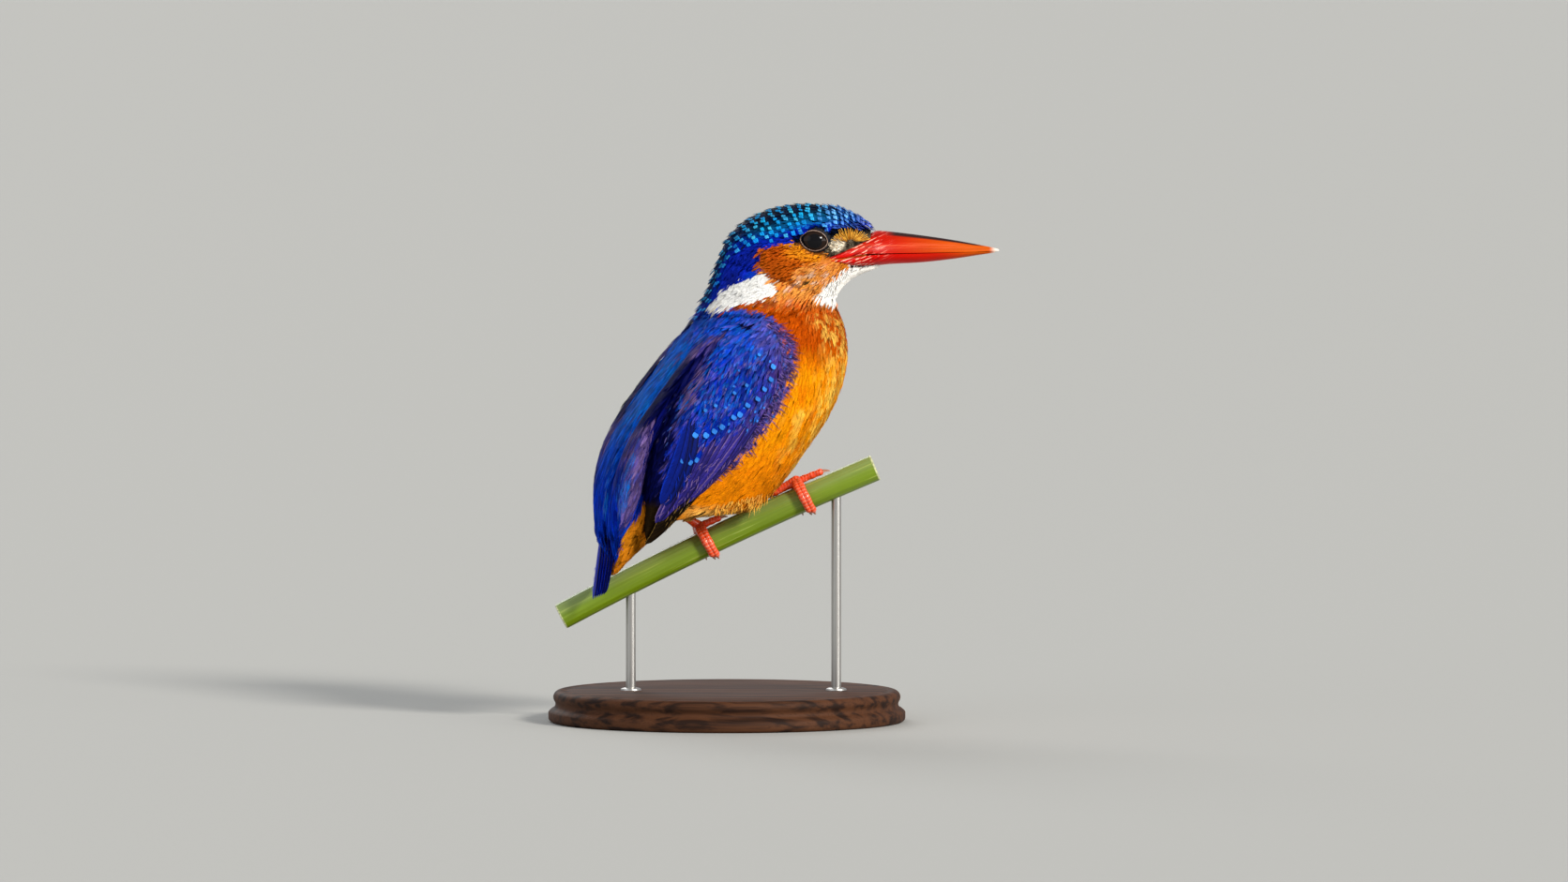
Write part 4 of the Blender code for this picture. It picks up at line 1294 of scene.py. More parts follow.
class KINGFISHER_OT_skin(Operator):
    """Joins the flesh into one smooth skin that lies under the coat"""

    bl_idname = "kingfisher.skin"
    bl_label = "Skin"

    def execute(self, context):
        global body
        look, rng = start(context, 0)
        copies = [fresh(f"copy_{name}", *mesh_arrays(NODES[name].data)) for name in FLESH]
        skin = joined("skin", copies)
        edit(skin, bpy.ops.mesh.remove_doubles, threshold=0.01 * MM)
        apply(skin, "REMESH", "Even", mode="VOXEL", voxel_size=look.skin_grain * MM)
        apply(skin, "SMOOTH", "Soften", factor=0.5, iterations=8)
        self.sink(skin, look)
        apply(skin, "SMOOTH", "Even out", factor=0.4, iterations=3)
        self.fit_eyes(skin)
        skin.data.shade_smooth()
        self.colour(skin, look)
        settle(skin, "skin", "breast_plumage", *FLESH)
        body = Body(skin, rng)
        return {"FINISHED"}

    def sink(self, skin, look):
        """Moves the surface in by the depth of the coat."""
        points = points_of(skin)
        normals = np.array([v.normal[:] for v in skin.data.vertices])
        side = to_side(points)
        face = smooth(14.0, 24.0, side[:, 0]) * smooth(94.0, 98.0, side[:, 2])
        depth = look.coat_depth + (look.face_depth - look.coat_depth) * face
        depth = depth * (1 - 0.8 * brow_of(side))
        move_points(skin, points - normals * depth[:, None] * MM)

    def fit_eyes(self, skin):
        """Draws the sockets' walls in to the eyeballs."""
        points = points_of(skin)
        for middle, radius in EYES.values():
            out = (points - np.array(middle)) / EYE_STRETCH
            low = np.maximum(-unit(out)[:, 2], 0)
            near = np.linalg.norm(out, axis=1) < radius + (0.85 + 0.65 * low) * MM
            onto = unit(out[near]) * (radius + 0.04 * MM) * EYE_STRETCH
            points[near] = np.array(middle) + onto
        move_points(skin, points)

    def colour(self, skin, look):
        """The ground colours, which show between the feathers."""
        points = points_of(skin)
        form, owners = solids_surface(FLESH)
        owner = owners[form.nearest(points)[2]]
        x, _, z = to_side(points).T
        wings = np.isin(owner, [FLESH.index(n) for n in WING_NODES]) & ~ahead_of_wing(x, z)
        capes = np.isin(owner, [FLESH.index(n) for n in CAPE_NODES])
        colours = body_colour(points, look)
        colours[wings] = wing_colour(points[wings], look)
        colours[capes] = cape_colour(points[capes], look)
        # The ground is painted darker than the feathers over it, as painted shade between them.
        paint(skin.data, colours * 0.85)
        set_uv(skin.data, "OFBake", unwrap(points))


# ---------------------------------------------------------------- coats

CROWN_PIVOT = (30.0, 88.0)  # the point in the throat about which the crown's rows fan
CROWN_RADIUS, SEEK_FROM = 30.0, 16.0  # how far off it the crown lies, and rays start, in mm
ROWS_FROM, ROWS_TO = -0.22, 1.6  # where the rows start and end, in radians back from upright
CROWN_END = 91.5  # the height on the hind neck down to which rows are set
CLOSE_TO, CLOSER = 0.25, 0.72  # how far back the rows stand closer, and by how much


def crown_rows(look, rng):
    """Places in rows across the crown and hind neck."""
    roots, normals = [], []
    back, step = ROWS_FROM, look.crown_row / CROWN_RADIUS
    lean = np.linspace(-1.9, 1.9, 240)
    for number in range(99):
        back += step * (CLOSER if back < CLOSE_TO else 1.0)
        if back > ROWS_TO:
            break
        dx, dz = -math.sin(back), math.cos(back)
        x, z = CROWN_PIVOT[0] + dx * SEEK_FROM, CROWN_PIVOT[1] + dz * SEEK_FROM
        middle = Vector(from_side(x, 0.0, z))
        ways = side_way(x + 0 * lean, z, dx * np.cos(lean), dz * np.cos(lean), np.sin(lean))
        hits = [body.skin.tree.ray_cast(middle + Vector(way) * 0.04, -Vector(way), 0.04)
                for way in ways]
        track = [hit[:2] for hit in hits if hit[0] is not None]
        if len(track) < 4:
            continue
        gone = np.cumsum([0] + [(b[0] - a[0]).length for a, b in zip(track, track[1:])])
        gap, half = look.crown_feather * MM, gone[-1] / 2
        count = int(half / look.crown_feather / MM)
        places = half + (number % 2) * 0.5 * gap + np.arange(-count, count + 1) * gap
        for index in np.minimum(np.searchsorted(gone, places), len(track) - 1):
            roots.append(track[index][0])
            normals.append(track[index][1])
    return np.array(roots) + rng.normal(0, 0.13 * MM, (len(roots), 3)), np.array(normals)


class KINGFISHER_OT_crown(Operator):
    """Sets the barred feathers of the crown and hind neck"""

    bl_idname = "kingfisher.crown"
    bl_label = "Crown"

    def execute(self, context):
        look, rng = start(context, 1)
        coat = Coat("coat_crown", "crown", "crown_plumage", rng)
        roots, normals = crown_rows(look, rng)
        side = to_side(roots)
        rough_x, rough_z = rng.normal(0, 0.2, (2, len(side)))
        kept = inside(CAP, side[:, 0] + rough_x, side[:, 2] + rough_z) & (side[:, 2] > CROWN_END)
        roots, normals, side = roots[kept], normals[kept], side[kept]
        x, _, z = side.T
        hind, brow, front = smooth(9.0, 0.0, x), smooth(19.0, 26.0, x), brow_of(side)
        glint = (rng.random(len(x)) < 0.35) * (1 - brow) * (1 - 0.6 * hind)
        bars = layered(
            look.spangle,
            (look.brow_spangle, brow),
            (np.array(look.lilac) * (0.8, 0.8, 1.5), smooth(27.5, 31.5, x) * 0.75),
            (np.array(look.spangle) * (1.0, 0.6, 0.5), 0.8 * hind),
            (look.azure, 0.35 * smooth(2.6, 0.8, z - np.interp(x, CAP_X, CAP_Z))),
            ((0.07, 0.58, 1.0), glint * 0.8),
        )
        bars = np.clip(bars * rng.uniform(0.65, 1.35, (len(x), 1)), 0, 1)
        lengths = (2.5 - 0.6 * brow + 0.4 * hind) * rng.uniform(0.9, 1.15, len(x))
        widths = (0.62 - 0.04 * brow) * (1 - 0.15 * hind) * rng.uniform(0.8, 1.25, len(x))
        short_bars = firm_kinds(rng, 0.50, 0.88, 0.7)
        self.ground_coat(coat, look, rng)
        long_bars = firm_kinds(rng, 0.34, 0.90, 0.85)
        low, high = 0.2 + 0.85 * front, 0.3 + 0.9 * front + 0.6 * hind
        base, lies = self.ground(side, look), lie_at(roots, normals)
        raised = (0.42 + 0.4 * front + 0.4 * smooth(27.5, 30.5, x))[:, None]
        for some, kinds in ((x < 22.5, short_bars), (x >= 22.5, long_bars)):
            coat.grow(roots[some], normals[some], lies[some], (lengths[some], widths[some]), kinds,
                      base[some], base[some], (low[some], high[some]), bars[some],
                      raised=raised[some])
        coat.build()
        return {"FINISHED"}

    def ground(self, side, look):
        """The dark colour between the bars."""
        x, _, z = side.T
        above = z - np.interp(x, CAP_X, CAP_Z)
        glow = smooth(0.4, 1.2, above) * smooth(4.0, 2.2, above) * smooth(2.0, 16.0, x)
        return layered(
            look.cap,
            (look.nape, smooth(9.0, 0.0, x)),
            (look.ultramarine, 0.8 * smooth(2.6, 0.8, above) * smooth(28.0, 24.0, x)),
            (look.spangle * 0.35, 0.6 * glow),
            (look.ultramarine, 0.45 * smooth(22.0, 28.0, x)),
        )

    def ground_coat(self, coat, look, rng):
        """The dense small feathers under the barred ones, down to the bill's root."""
        mask = body.marked("cap") & body.owned("head", "neck")
        gap = 0.62 - 0.22 * smooth(20.0, 27.0, body.side[:, 0])
        found, roots, normals, lies = body.choose(mask, gap, rng)
        side = body.side[found]
        x, front = side[:, 0], brow_of(side)
        base = self.ground(side, look)
        light = mix(base * 1.6, look.azure, 0.25 * rng.random(len(found)))
        lilac = np.array(look.lilac) * (0.7, 0.7, 1.4)
        light = mix(light, mix(look.brow_spangle, lilac, smooth(27.5, 31.5, x)),
                    0.7 * smooth(21.0, 26.0, x) * rng.random(len(found)))
        size = 1 - 0.4 * smooth(20.0, 27.0, x)
        coat.grow(roots, normals, lies, (2.3 * size, 0.44 * size),
                  soft_kinds(6, rng, 6, 1.0, 0.6, 0.10), base, base,
                  (-0.1 + 0.6 * front, 0.1 + 0.95 * front), light,
                  raised=(0.2 + 0.5 * front + 0.4 * smooth(27.5, 30.5, x))[:, None])


SOFT_COATS = {
    # name: regions, spacing, length and half-width in mm, barbs, how high tips stand,
    # how dark some barbs are, finish and slot
    "coat_nape": (("nape",), 0.48, 2.2, 0.34, 8, 0.1, 0.12, "glossy", "crown_plumage"),
    "coat_cheeks": (("ear", "cheek"), 0.46, 2.3, 0.32, 8, 0.1, 0.08, "soft", "neck_plumage"),
    "coat_white": (("flash", "throat"), 0.46, 3.0, 0.36, 9, 0.15, 0.0, "soft", "neck_plumage"),
}
# The keel of the throat under the bill: its height and half-width in mm by x, and how fast it
# rises to the sides.
CHIN_X = (23.5, 24.2, 25.0, 26.6, 29.3, 33.0, 35.2)
CHIN_Z = (93.8, 94.8, 96.4, 98.3, 100.1, 101.5, 102.35)
CHIN_HALF = (5.0, 5.0, 4.8, 4.6, 4.0, 2.4, 0.9)
CHIN_ROUND = 0.064
EAR_TOP = 107.45


class KINGFISHER_OT_head_coat(Operator):
    """Sets the soft feathers of nape, cheeks, throat and neck flash"""

    bl_idname = "kingfisher.head_coat"
    bl_label = "Head and Neck"

    def execute(self, context):
        look, rng = start(context, 2)
        face = smooth(12.0, 24.0, body.side[:, 0]) * smooth(95.0, 99.0, body.side[:, 2])
        for name, (regions, gap, long, half, barbs, high, gloom, finish, slot) in SOFT_COATS.items():
            coat, white = Coat(name, finish, slot, rng), name == "coat_white"
            mask = body.marked(*regions) & body.owned("head", "neck", "trunk")
            mask &= ~body.marked("ear") | (body.side[:, 2] < EAR_TOP)
            found, roots, normals, lies = body.choose(mask, gap * (1 - 0.35 * face), rng,
                                                      0.05 if white else 0.10)
            x, aside, z = body.side[found].T
            region = body.region[found]
            base = body_colour(roots, look)
            scale = 1 - 0.45 * face[found]
            rim = np.maximum(smooth(10.5, 8.0, x), smooth(105.4, 106.6, z))
            scale *= 1 - (0.2 + 0.35 * rim) * is_region(region, "ear")
            under = white * smooth(20.0, 24.0, x)
            proud = 0.22 * is_region(region, "flash")
            kinds = soft_kinds(6, rng, barbs, gloom=gloom)
            light = np.clip(base * 1.6 + 0.01, 0, 1)
            if name == "coat_cheeks":
                pale = rng.random(len(found)) ** 2 * is_region(region, "cheek")
                light = mix(light, look.cream, 0.45 * pale)
            # The downy throat glows in light from ahead.
            ahead = np.stack((0.4 + 0 * x, np.sign(aside), 0.5 + 0 * x), 1)
            toward = under[:, None] * ahead
            coat.grow(roots, unit(normals + 0.9 * toward), lies,
                      (long * scale * (1 + 0.5 * smooth(98.0, 93.0, z)), half * scale), kinds,
                      base, np.clip(base * 1.1, 0, 1),
                      (-0.1 + 0.3 * under + proud, high + 0.5 * under + proud), light,
                      (0.96, 1.04) if white else (0.82, 1.14), own=0.15 if white else 0.3,
                      toward=toward)
            if white:
                self.chin(coat, look, kinds)
            coat.build()
        return {"FINISHED"}

    def chin(self, coat, look, kinds):
        """The white feathers that run back from under the bill along the throat's keel."""
        rng, count = coat.rng, 620
        x = rng.uniform(26.0, 35.0, count)
        across = rng.uniform(-1.0, 1.0, count) * np.interp(x, CHIN_X, CHIN_HALF)
        ahead = rng.uniform(1.8, 2.8, count)

        def keel(at, deep):
            z = np.interp(at, CHIN_X, CHIN_Z) + CHIN_ROUND * across**2
            slope = np.interp(at, CHIN_X, np.gradient(CHIN_Z, CHIN_X))
            normal = unit(np.stack((slope, 2 * CHIN_ROUND * across, 0 * at - 1.0), 1))
            aside = np.stack((0 * at + 0.4, np.sign(across), 0 * at + 0.35), 1)
            return (np.stack((at, across, z), 1) - normal * deep) * MM, unit(normal + aside)

        roots, normals = keel(x, 0.55)
        control, _ = keel(x - 0.5 * ahead, 0.05)
        tips, tip_normals = keel(x - ahead, rng.uniform(0.0, 0.35, (count, 1)))
        base = tiled(look.white, count)
        coat.lay(roots, control, tips, normals, tip_normals, 0.3 * MM, kinds, base, base, base,
                 (0.96, 1.04))


class KINGFISHER_OT_lores(Operator):
    """Sets the short feathers before the eye and the fan of bristles over them"""

    bl_idname = "kingfisher.lores"
    bl_label = "Lores"

    def execute(self, context):
        look, rng = start(context, 3)
        coat = Coat("coat_lores", "soft", "neck_plumage", rng)
        mask = body.marked("lore") & body.owned("head")
        _, roots, normals, lies = body.choose(mask, 0.34, rng, 0.2)
        base = body_colour(roots, look)
        coat.grow(roots, normals, lies, (0.8, 0.2), soft_kinds(5, rng, 5), base,
                  np.clip(base * 1.2, 0, 1), (-0.1, 0.05), base * 2.4, (0.5, 1.5), raised=0.1)
        for sign in SIDES.values():
            self.bristles(coat, look, sign, rng)
        coat.build()
        return {"FINISHED"}

    def bristles(self, coat, look, sign, rng, fan=28, rings=(0.4, 0.9, 1.5)):
        count = fan * len(rings)
        share = (np.arange(count) % fan + rng.uniform(-0.3, 0.3, count)) / (fan - 1)
        angle, reach = math.radians(8) + math.radians(164) * share, np.repeat(rings, fan)
        x = TUFT_ROOT[0] + np.cos(angle) * reach * 1.9
        z = TUFT_ROOT[1] + 0.4 + np.sin(angle) * reach * 0.9
        roots, normals = body.skin.seen_from_side(x, z, sign)
        lies = flat(side_way(x, z, np.cos(angle), np.sin(angle)), normals)
        base = tiled(look.ear * 0.25, count)
        tips = mix(tiled(look.gold, count), look.cream, rng.uniform(0.1, 0.8, count))
        coat.grow(roots, normals, lies, (1.8, 0.15), soft_kinds(4, rng, 2, 0.5, 0.5, 0.3), base,
                  tips, (0.2, 0.7), mix(base, tips, 0.8), (0.9, 1.3), own=0.7)


BELLY_TOP = 60.0


class KINGFISHER_OT_breast(Operator):
    """Sets the soft feathers of breast, flanks, belly, thighs and vent"""

    bl_idname = "kingfisher.breast"
    bl_label = "Breast and Belly"

    def execute(self, context):
        look, rng = start(context, 4)
        x, aside, z = body.side.T
        mask = body.marked("breast") & body.owned("head", "neck", *BODY_NODES)
        mask |= body.owned(*WING_NODES) & ahead_of_wing(x, z)
        parts = {
            "coat_breast_left": mask & (z > BELLY_TOP) & (aside > 0),
            "coat_breast_right": mask & (z > BELLY_TOP) & (aside <= 0),
            "coat_belly": mask & (z <= BELLY_TOP),
        }
        upper, front = smooth(84.0, 92.0, z), breast_front(x, z)
        for name, part in parts.items():
            coat = Coat(name, "soft", "breast_plumage", rng)
            found, roots, normals, lies = body.choose(part, 0.64 - 0.1 * upper - 0.08 * front, rng,
                                                      0.07)
            base = body_colour(roots, look)
            kinds = soft_kinds(8, rng, 9, 1.0, 0.6, 0.085, gloom=0.02)
            lengths = 4.2 - 1.2 * upper[found] - 0.6 * smooth(56.0, 48.0, z[found]) - 1.3 * front[found]
            light = np.clip(base * 1.35 + (0.04, 0.03, 0.0), 0, 1)
            pale = front[found] * (rng.random(len(found)) < 0.5) * rng.uniform(0.4, 1.0, len(found))
            tips = mix(np.clip(base * 1.06, 0, 1), look.cream, pale)
            coat.grow(roots, normals, lies, (lengths, 0.54), kinds, base, tips, (-0.15, 0.08),
                      mix(light, look.cream, 0.5 * pale))
            if name == "coat_belly":
                for sign in SIDES.values():
                    self.tufts(coat, look, sign, rng)
            coat.build()
        return {"FINISHED"}

    def tufts(self, coat, look, sign, rng, count=150):
        """Loose pale feathers that hang from the belly over the perch."""
        x = rng.uniform(-5.0, 10.5, count)
        z = 49.6 + 0.22 * (x - 1.0) + rng.uniform(-1.3, 1.3, count)
        roots, normals = body.form.seen_from_side(x, z, sign)
        full = 0.35 + 0.65 * smooth(2.0, 4.5, x) * smooth(9.5, 7.5, x)
        long = (rng.uniform(1.6, 4.0, count) * full)[:, None] * MM
        down = side_way(x, z, rng.normal(-0.75, 0.3, count), -1.0 + 0 * x) * long
        base = mix(tiled(look.flank, count), look.buff, rng.uniform(0.0, 0.5, count))
        tips = mix(base, look.cream, rng.uniform(0.2, 0.9, count))
        kinds = soft_kinds(6, rng, 4, 0.7, 0.2, 0.14, gloom=0.0)
        proud = roots + normals * rng.uniform(0.05, 0.35, (count, 1)) * MM
        coat.lay(roots - normals * 0.3 * MM, proud + down / 2, proud + down, normals, normals,
                 0.26 * MM, kinds, base, tips, tips, own=0.25, toward=tiled((0.4, sign, 0.5), count))


class KINGFISHER_OT_back(Operator):
    """Sets the glossy feathers of mantle, back, rump and shoulders"""

    bl_idname = "kingfisher.back"
    bl_label = "Back and Shoulders"

    def execute(self, context):
        look, rng = start(context, 5)
        parts = {
            "coat_back": body.marked("back") & body.owned("neck", "trunk", "tail_coverts"),
            "coat_shoulder_left": body.owned("scapulars_left"),
            "coat_shoulder_right": body.owned("scapulars_right"),
        }
        for name, mask in parts.items():
            coat, side = Coat(name, "glossy", "back_plumage", rng), name.rsplit("_", 1)[1]
            found, roots, normals, lies = body.choose(mask, 0.66, rng, 0.05)
            base = (cape_colour if side in SIDES else body_colour)(roots, look)
            kinds = soft_kinds(8, rng, 9, 0.95, 0.5, 0.08)
            lengths = 4.8 + 1.8 * smooth(80.0, 60.0, body.side[found, 2])
            blue = (base[:, 2] > 4 * base[:, 0]) & (base[:, 2] > 0.15)
            light = mix(np.clip(base * 2.0, 0, 1), look.azure, blue * rng.random(len(found)) * 0.6)
            coat.grow(roots, normals, lies, (lengths, 0.5), kinds, base, np.clip(base * 1.1, 0, 1),
                      (-0.1, 0.14), light, (0.5, 1.25))
            if side in SIDES:
                self.streaks(coat, look, SIDES[side], rng)
                self.loose(coat, look, SIDES[side], rng)
            coat.build()
        return {"FINISHED"}

    def streaks(self, coat, look, sign, rng, count=420):
        """Long bright barbs behind the loose lilac ones: azure barbs, many painted brighter than the
        azure as painted highlight.
        """
        z = rng.uniform(50.0, 88.0, count)
        x = np.interp(z, LAPPET_LEVELS, LAPPET_EDGE) - rng.uniform(2.6, 9.0, count)
        roots, normals = body.form.seen_from_side(x, z, sign)
        outward = np.abs(normals[:, 1]) > 0.5
        roots, normals, count = roots[outward], normals[outward], int(outward.sum())
        base = np.array(look.azure) * rng.uniform(0.8, 1.7, (count, 1))
        base = np.clip(mix(base, look.lilac, 0.5 * rng.random(count) ** 2), 0, 1)
        kinds = soft_kinds(5, rng, 2, 0.9, 0.06, 0.2)
        lengths = rng.uniform(3.0, 6.0, count)
        lies = jitter(lie_at(roots, normals), normals, 0.08, rng)
        coat.grow(roots, normals, lies, (lengths, 0.24), kinds, base * 0.5, base, (0.12, 0.3), base,
                  raised=-0.1)

    def loose(self, coat, look, sign, rng, count=260):
        """Loose hair-like barbs along the edge that hangs over the wing."""
        z = rng.uniform(47.0, 89.0, count)
        x = np.interp(z, LAPPET_LEVELS, LAPPET_EDGE) - rng.uniform(-0.3, 2.6, count)
        high = smooth(72.0, 80.0, z)
        way = (rng.normal(-0.15, 0.08, count) - 0.55 * high, -1.0 + 0.35 * high)
        base = mix(tiled(look.violet, count), look.lilac, rng.uniform(0.2, 1.0, count))
        base = base * rng.uniform(0.4, 1.2, (count, 1))
        coat.scatter(x, z, sign, way, (3.4, 0.3), soft_kinds(5, rng, 3, 0.8, 0.1, 0.13), base * 0.6,
                     base, (0.05, 0.3), base, 0.2)


# Tips of the spotted coverts in the side view: the long row, odd ones over it, and the lowest.
COVERT_ROW = (
    (7.55, 79.6), (6.7, 76.8), (4.9, 74.3), (3.4, 72.2), (1.5, 70.9), (0.07, 69.5), (-1.7, 68.25),
    (-3.9, 66.6), (-5.7, 65.5), (-7.5, 64.9), (-10.0, 64.7),
)
ODD_COVERTS = ((-5.6, 71.0), (-1.6, 73.6), (1.4, 75.6), (4.6, 82.0), (-7.8, 70.0))
LOW_COVERTS = ((-13.0, 59.0), (-10.8, 58.8), (-9.6, 59.4))
COVERT_WAY = np.array((-0.55, -0.83))
COVERT_END = (53.5, 0.47)  # the height of the small coverts' lower edge at x = -20, and its slope
FRINGE = ((8.6, 91.0), (11.0, 88.6), (12.4, 85.5), (12.2, 81.0), (10.8, 76.2), (7.8, 69.8),
          (2.4, 62.2), (-4.4, 55.6))
INNER_EDGE = ((-9.4, 80.6), (-12.2, 76.0), (-13.6, 72.0))


def along_path(points, shares):
    """Places on a line of points by their share of the number of steps, as x and z."""
    at = np.asarray(shares) * (len(points) - 1)
    return [np.interp(at, np.arange(len(points)), axis) for axis in zip(*points)]


class KINGFISHER_OT_wings(Operator):
    """Sets the small coverts of the wings, some with a light spot"""

    bl_idname = "kingfisher.wings"
    bl_label = "Wing Coverts"

    def execute(self, context):
        look, rng = start(context, 6)
        x, aside, z = body.side.T
        for name, sign in SIDES.items():
            coat = Coat(f"coat_wing_{name}", "glossy", "wing_plumage", rng)
            mask = body.owned(f"wing_{name}") & ~ahead_of_wing(x, z)
            mask &= z > COVERT_END[0] + COVERT_END[1] * (x + 20.0)
            mask |= body.marked("shoulder") & body.owned("neck", "trunk") & (aside * sign > 4.0)
            found, roots, normals, lies = body.choose(mask, 0.6, rng, 0.12)
            at, up, number = x[found], z[found], len(found)
            base = wing_colour(roots, look)
            near, reach = front_distance(at, up), smooth(66.0, 70.0, up + 0.25 * (at + 2))
            often = 0.05 * reach * smooth(90.0, 87.0, up) * smooth(14.0, 8.0, near)
            spotted = rng.random(number) < often
            lit = base[:, 2] > 0.05
            light = mix(np.clip(base * 1.9, 0, 1), look.lilac, lit * rng.random(number) ** 2 * 0.7)
            light = mix(light, look.azure, 0.8 * lit * (rng.random(number) < 0.3) * reach)
            plain = soft_kinds(8, rng, 8, 1.0, 0.6, 0.09, gloom=0.15)
            dotted = soft_kinds(5, rng, 8, 1.0, 0.5, 0.085, (0.76, 0.96))
            for some, kinds in ((~spotted, plain), (spotted, dotted)):
                glow = rng.uniform(0.35, 0.8, (some.sum(), 1))
                spots = base[some] * (1 - glow) + np.array(look.wing_spot) * glow
                coat.grow(roots[some], normals[some], lies[some],
                          (3.0 + 1.4 * (1 - reach[some]), 0.44), kinds, base[some],
                          np.clip(base[some] * 1.15, 0, 1), (-0.1, 0.1), light[some], (0.5, 1.3),
                          spots=spots)
            self.spot_rows(coat, look, sign, rng)
            self.fringe(coat, look, sign, rng)
            self.hairs(coat, look, sign, rng)
            some = (rng.random(number) < 0.16) & (up > 64.0) & (near > 1.5)
            self.barbs(coat, look, roots[some], normals[some], lies[some], rng)
            coat.build()
        return {"FINISHED"}

    def barbs(self, coat, look, roots, normals, lies, rng):
        """Single bright barbs that stand out over the small coverts."""
        count = len(roots)
        base = mix(tiled(look.azure, count), look.lilac, rng.random(count))
        base = np.clip(base * rng.uniform(0.6, 1.5, (count, 1)), 0, 1)
        kinds = soft_kinds(5, rng, 2, 0.9, 0.05, 0.2)
        coat.grow(roots, normals, jitter(lies, normals, 0.15, rng),
                  (rng.uniform(2.0, 3.6, count), 0.2), kinds, base * 0.5, base, (0.1, 0.3), base)

    def spot_rows(self, coat, look, sign, rng):
        """The greater coverts, each with a light spot."""
        for tips, long, half, strength, stand in (
            (COVERT_ROW, 4.0, 1.1, 0.85, 0.35), (ODD_COVERTS, 3.0, 0.7, 0.8, 0.35),
            (LOW_COVERTS, 4.0, 0.8, 0.8, 0.9),
        ):
            places = np.array(tips) + (-1.4, 0.7) + rng.normal(0, 0.08, (len(tips), 2))
            x, z = (places - COVERT_WAY * long * 0.78).T
            roots, normals = body.form.seen_from_side(x, z, sign)
            base = wing_colour(roots - normals * 0.3 * MM, look)
            bright = rng.uniform(0.8, 1.1, (len(x), 1)) * strength
            spots = np.clip(np.array(look.wing_spot) * bright, 0, 1)
            coat.scatter(x, z, sign, (COVERT_WAY[0] + 0 * x, COVERT_WAY[1]), (long, half),
                         soft_kinds(5, rng, 12, 1.0, 0.6, 0.08, (0.66, 0.92)), base, base,
                         (stand, stand + 0.05), np.clip(base * 1.8, 0, 1), 0.3, spots=spots)

    def fringe(self, coat, look, sign, rng, count=520):
        """Loose barbs that stand forward from the wing's front edge, some long and dark."""
        x, z = along_path(FRINGE, rng.random(count))
        x, z = x - rng.uniform(1.6, 4.0, count), z + rng.uniform(-0.5, 0.5, count)
        way = (np.full(count, 0.85), rng.normal(-0.55, 0.35, count))
        base = mix(tiled(look.violet, count), look.lilac, rng.uniform(0.0, 0.7, count))
        base[rng.random(count) < 0.4] *= 0.25
        kinds = soft_kinds(5, rng, 3, 0.8, 0.14, 0.14)
        roots, normals, lies = coat.scatter(
            x, z, sign, way, (1.6 + 2.2 * rng.random(count) ** 2, 0.2), kinds, base, base,
            (0.05, 0.4), np.clip(base * 1.6, 0, 1), 0.2)
        far = rng.random(count) < 0.22
        roots, normals, lies = roots[far] - normals[far] * 0.2 * MM, normals[far], lies[far]
        kinds = soft_kinds(4, rng, 2, 0.9, 0.06, 0.2)
        dark = tiled(mix(look.quill, look.violet, 0.3), len(roots))
        coat.grow(roots + lies * 0.8 * MM, normals, jitter(lies, normals, 0.15, rng),
                  (rng.uniform(2.2, 3.8, len(dark)), 0.15), kinds, dark, dark, (0.15, 0.5), dark,
                  raised=0.1)

    def hairs(self, coat, look, sign, rng, count=64):
        """Pale loose barbs at the inner edge of the coverts, over the recess, which is painted dark as
        shade.
        """
        x, z = along_path(INNER_EDGE, rng.random(count))
        x, z = x + rng.uniform(0.0, 2.6, count), z + rng.uniform(-0.8, 1.4, count)
        way = (rng.normal(-0.62, 0.1, count), np.full(count, -0.8))
        base = mix(tiled(look.navy, count), look.lilac, rng.uniform(0.3, 1.0, count))
        kinds = soft_kinds(4, rng, 3, 0.7, 0.08, 0.14)
        base = base * rng.uniform(0.4, 1.1, (count, 1))
        coat.scatter(x, z, sign, way, (4.0, 0.2), kinds, base, base, (0.1, 0.3), base)


# ---------------------------------------------------------------- flight feathers and tail

# Each row of quills: number, roots and tips in the side view, half-width, and how high the
# first and the last stand.
PRIMARIES = (6, ((-8.0, 58.0), (-6.6, 54.6)), ((-18.6, 46.0), (-19.4, 43.4), (-20.5, 40.6)),
             1.2, (0.3, 0.06))
SECONDARIES = (10, ((-11.6, 63.0), (-7.6, 64.0), (-2.2, 66.0), (3.4, 69.4)),
               ((-19.0, 45.8), (-17.4, 46.4), (-15.2, 48.0), (-12.6, 49.8), (-9.6, 51.6)),
               1.35, (0.55, 0.22))
TERTIALS = (4, ((-12.8, 69.0), (-11.2, 68.0)), ((-18.2, 50.0), (-16.8, 49.4), (-15.2, 51.6)),
            1.5, (0.62, 0.5))


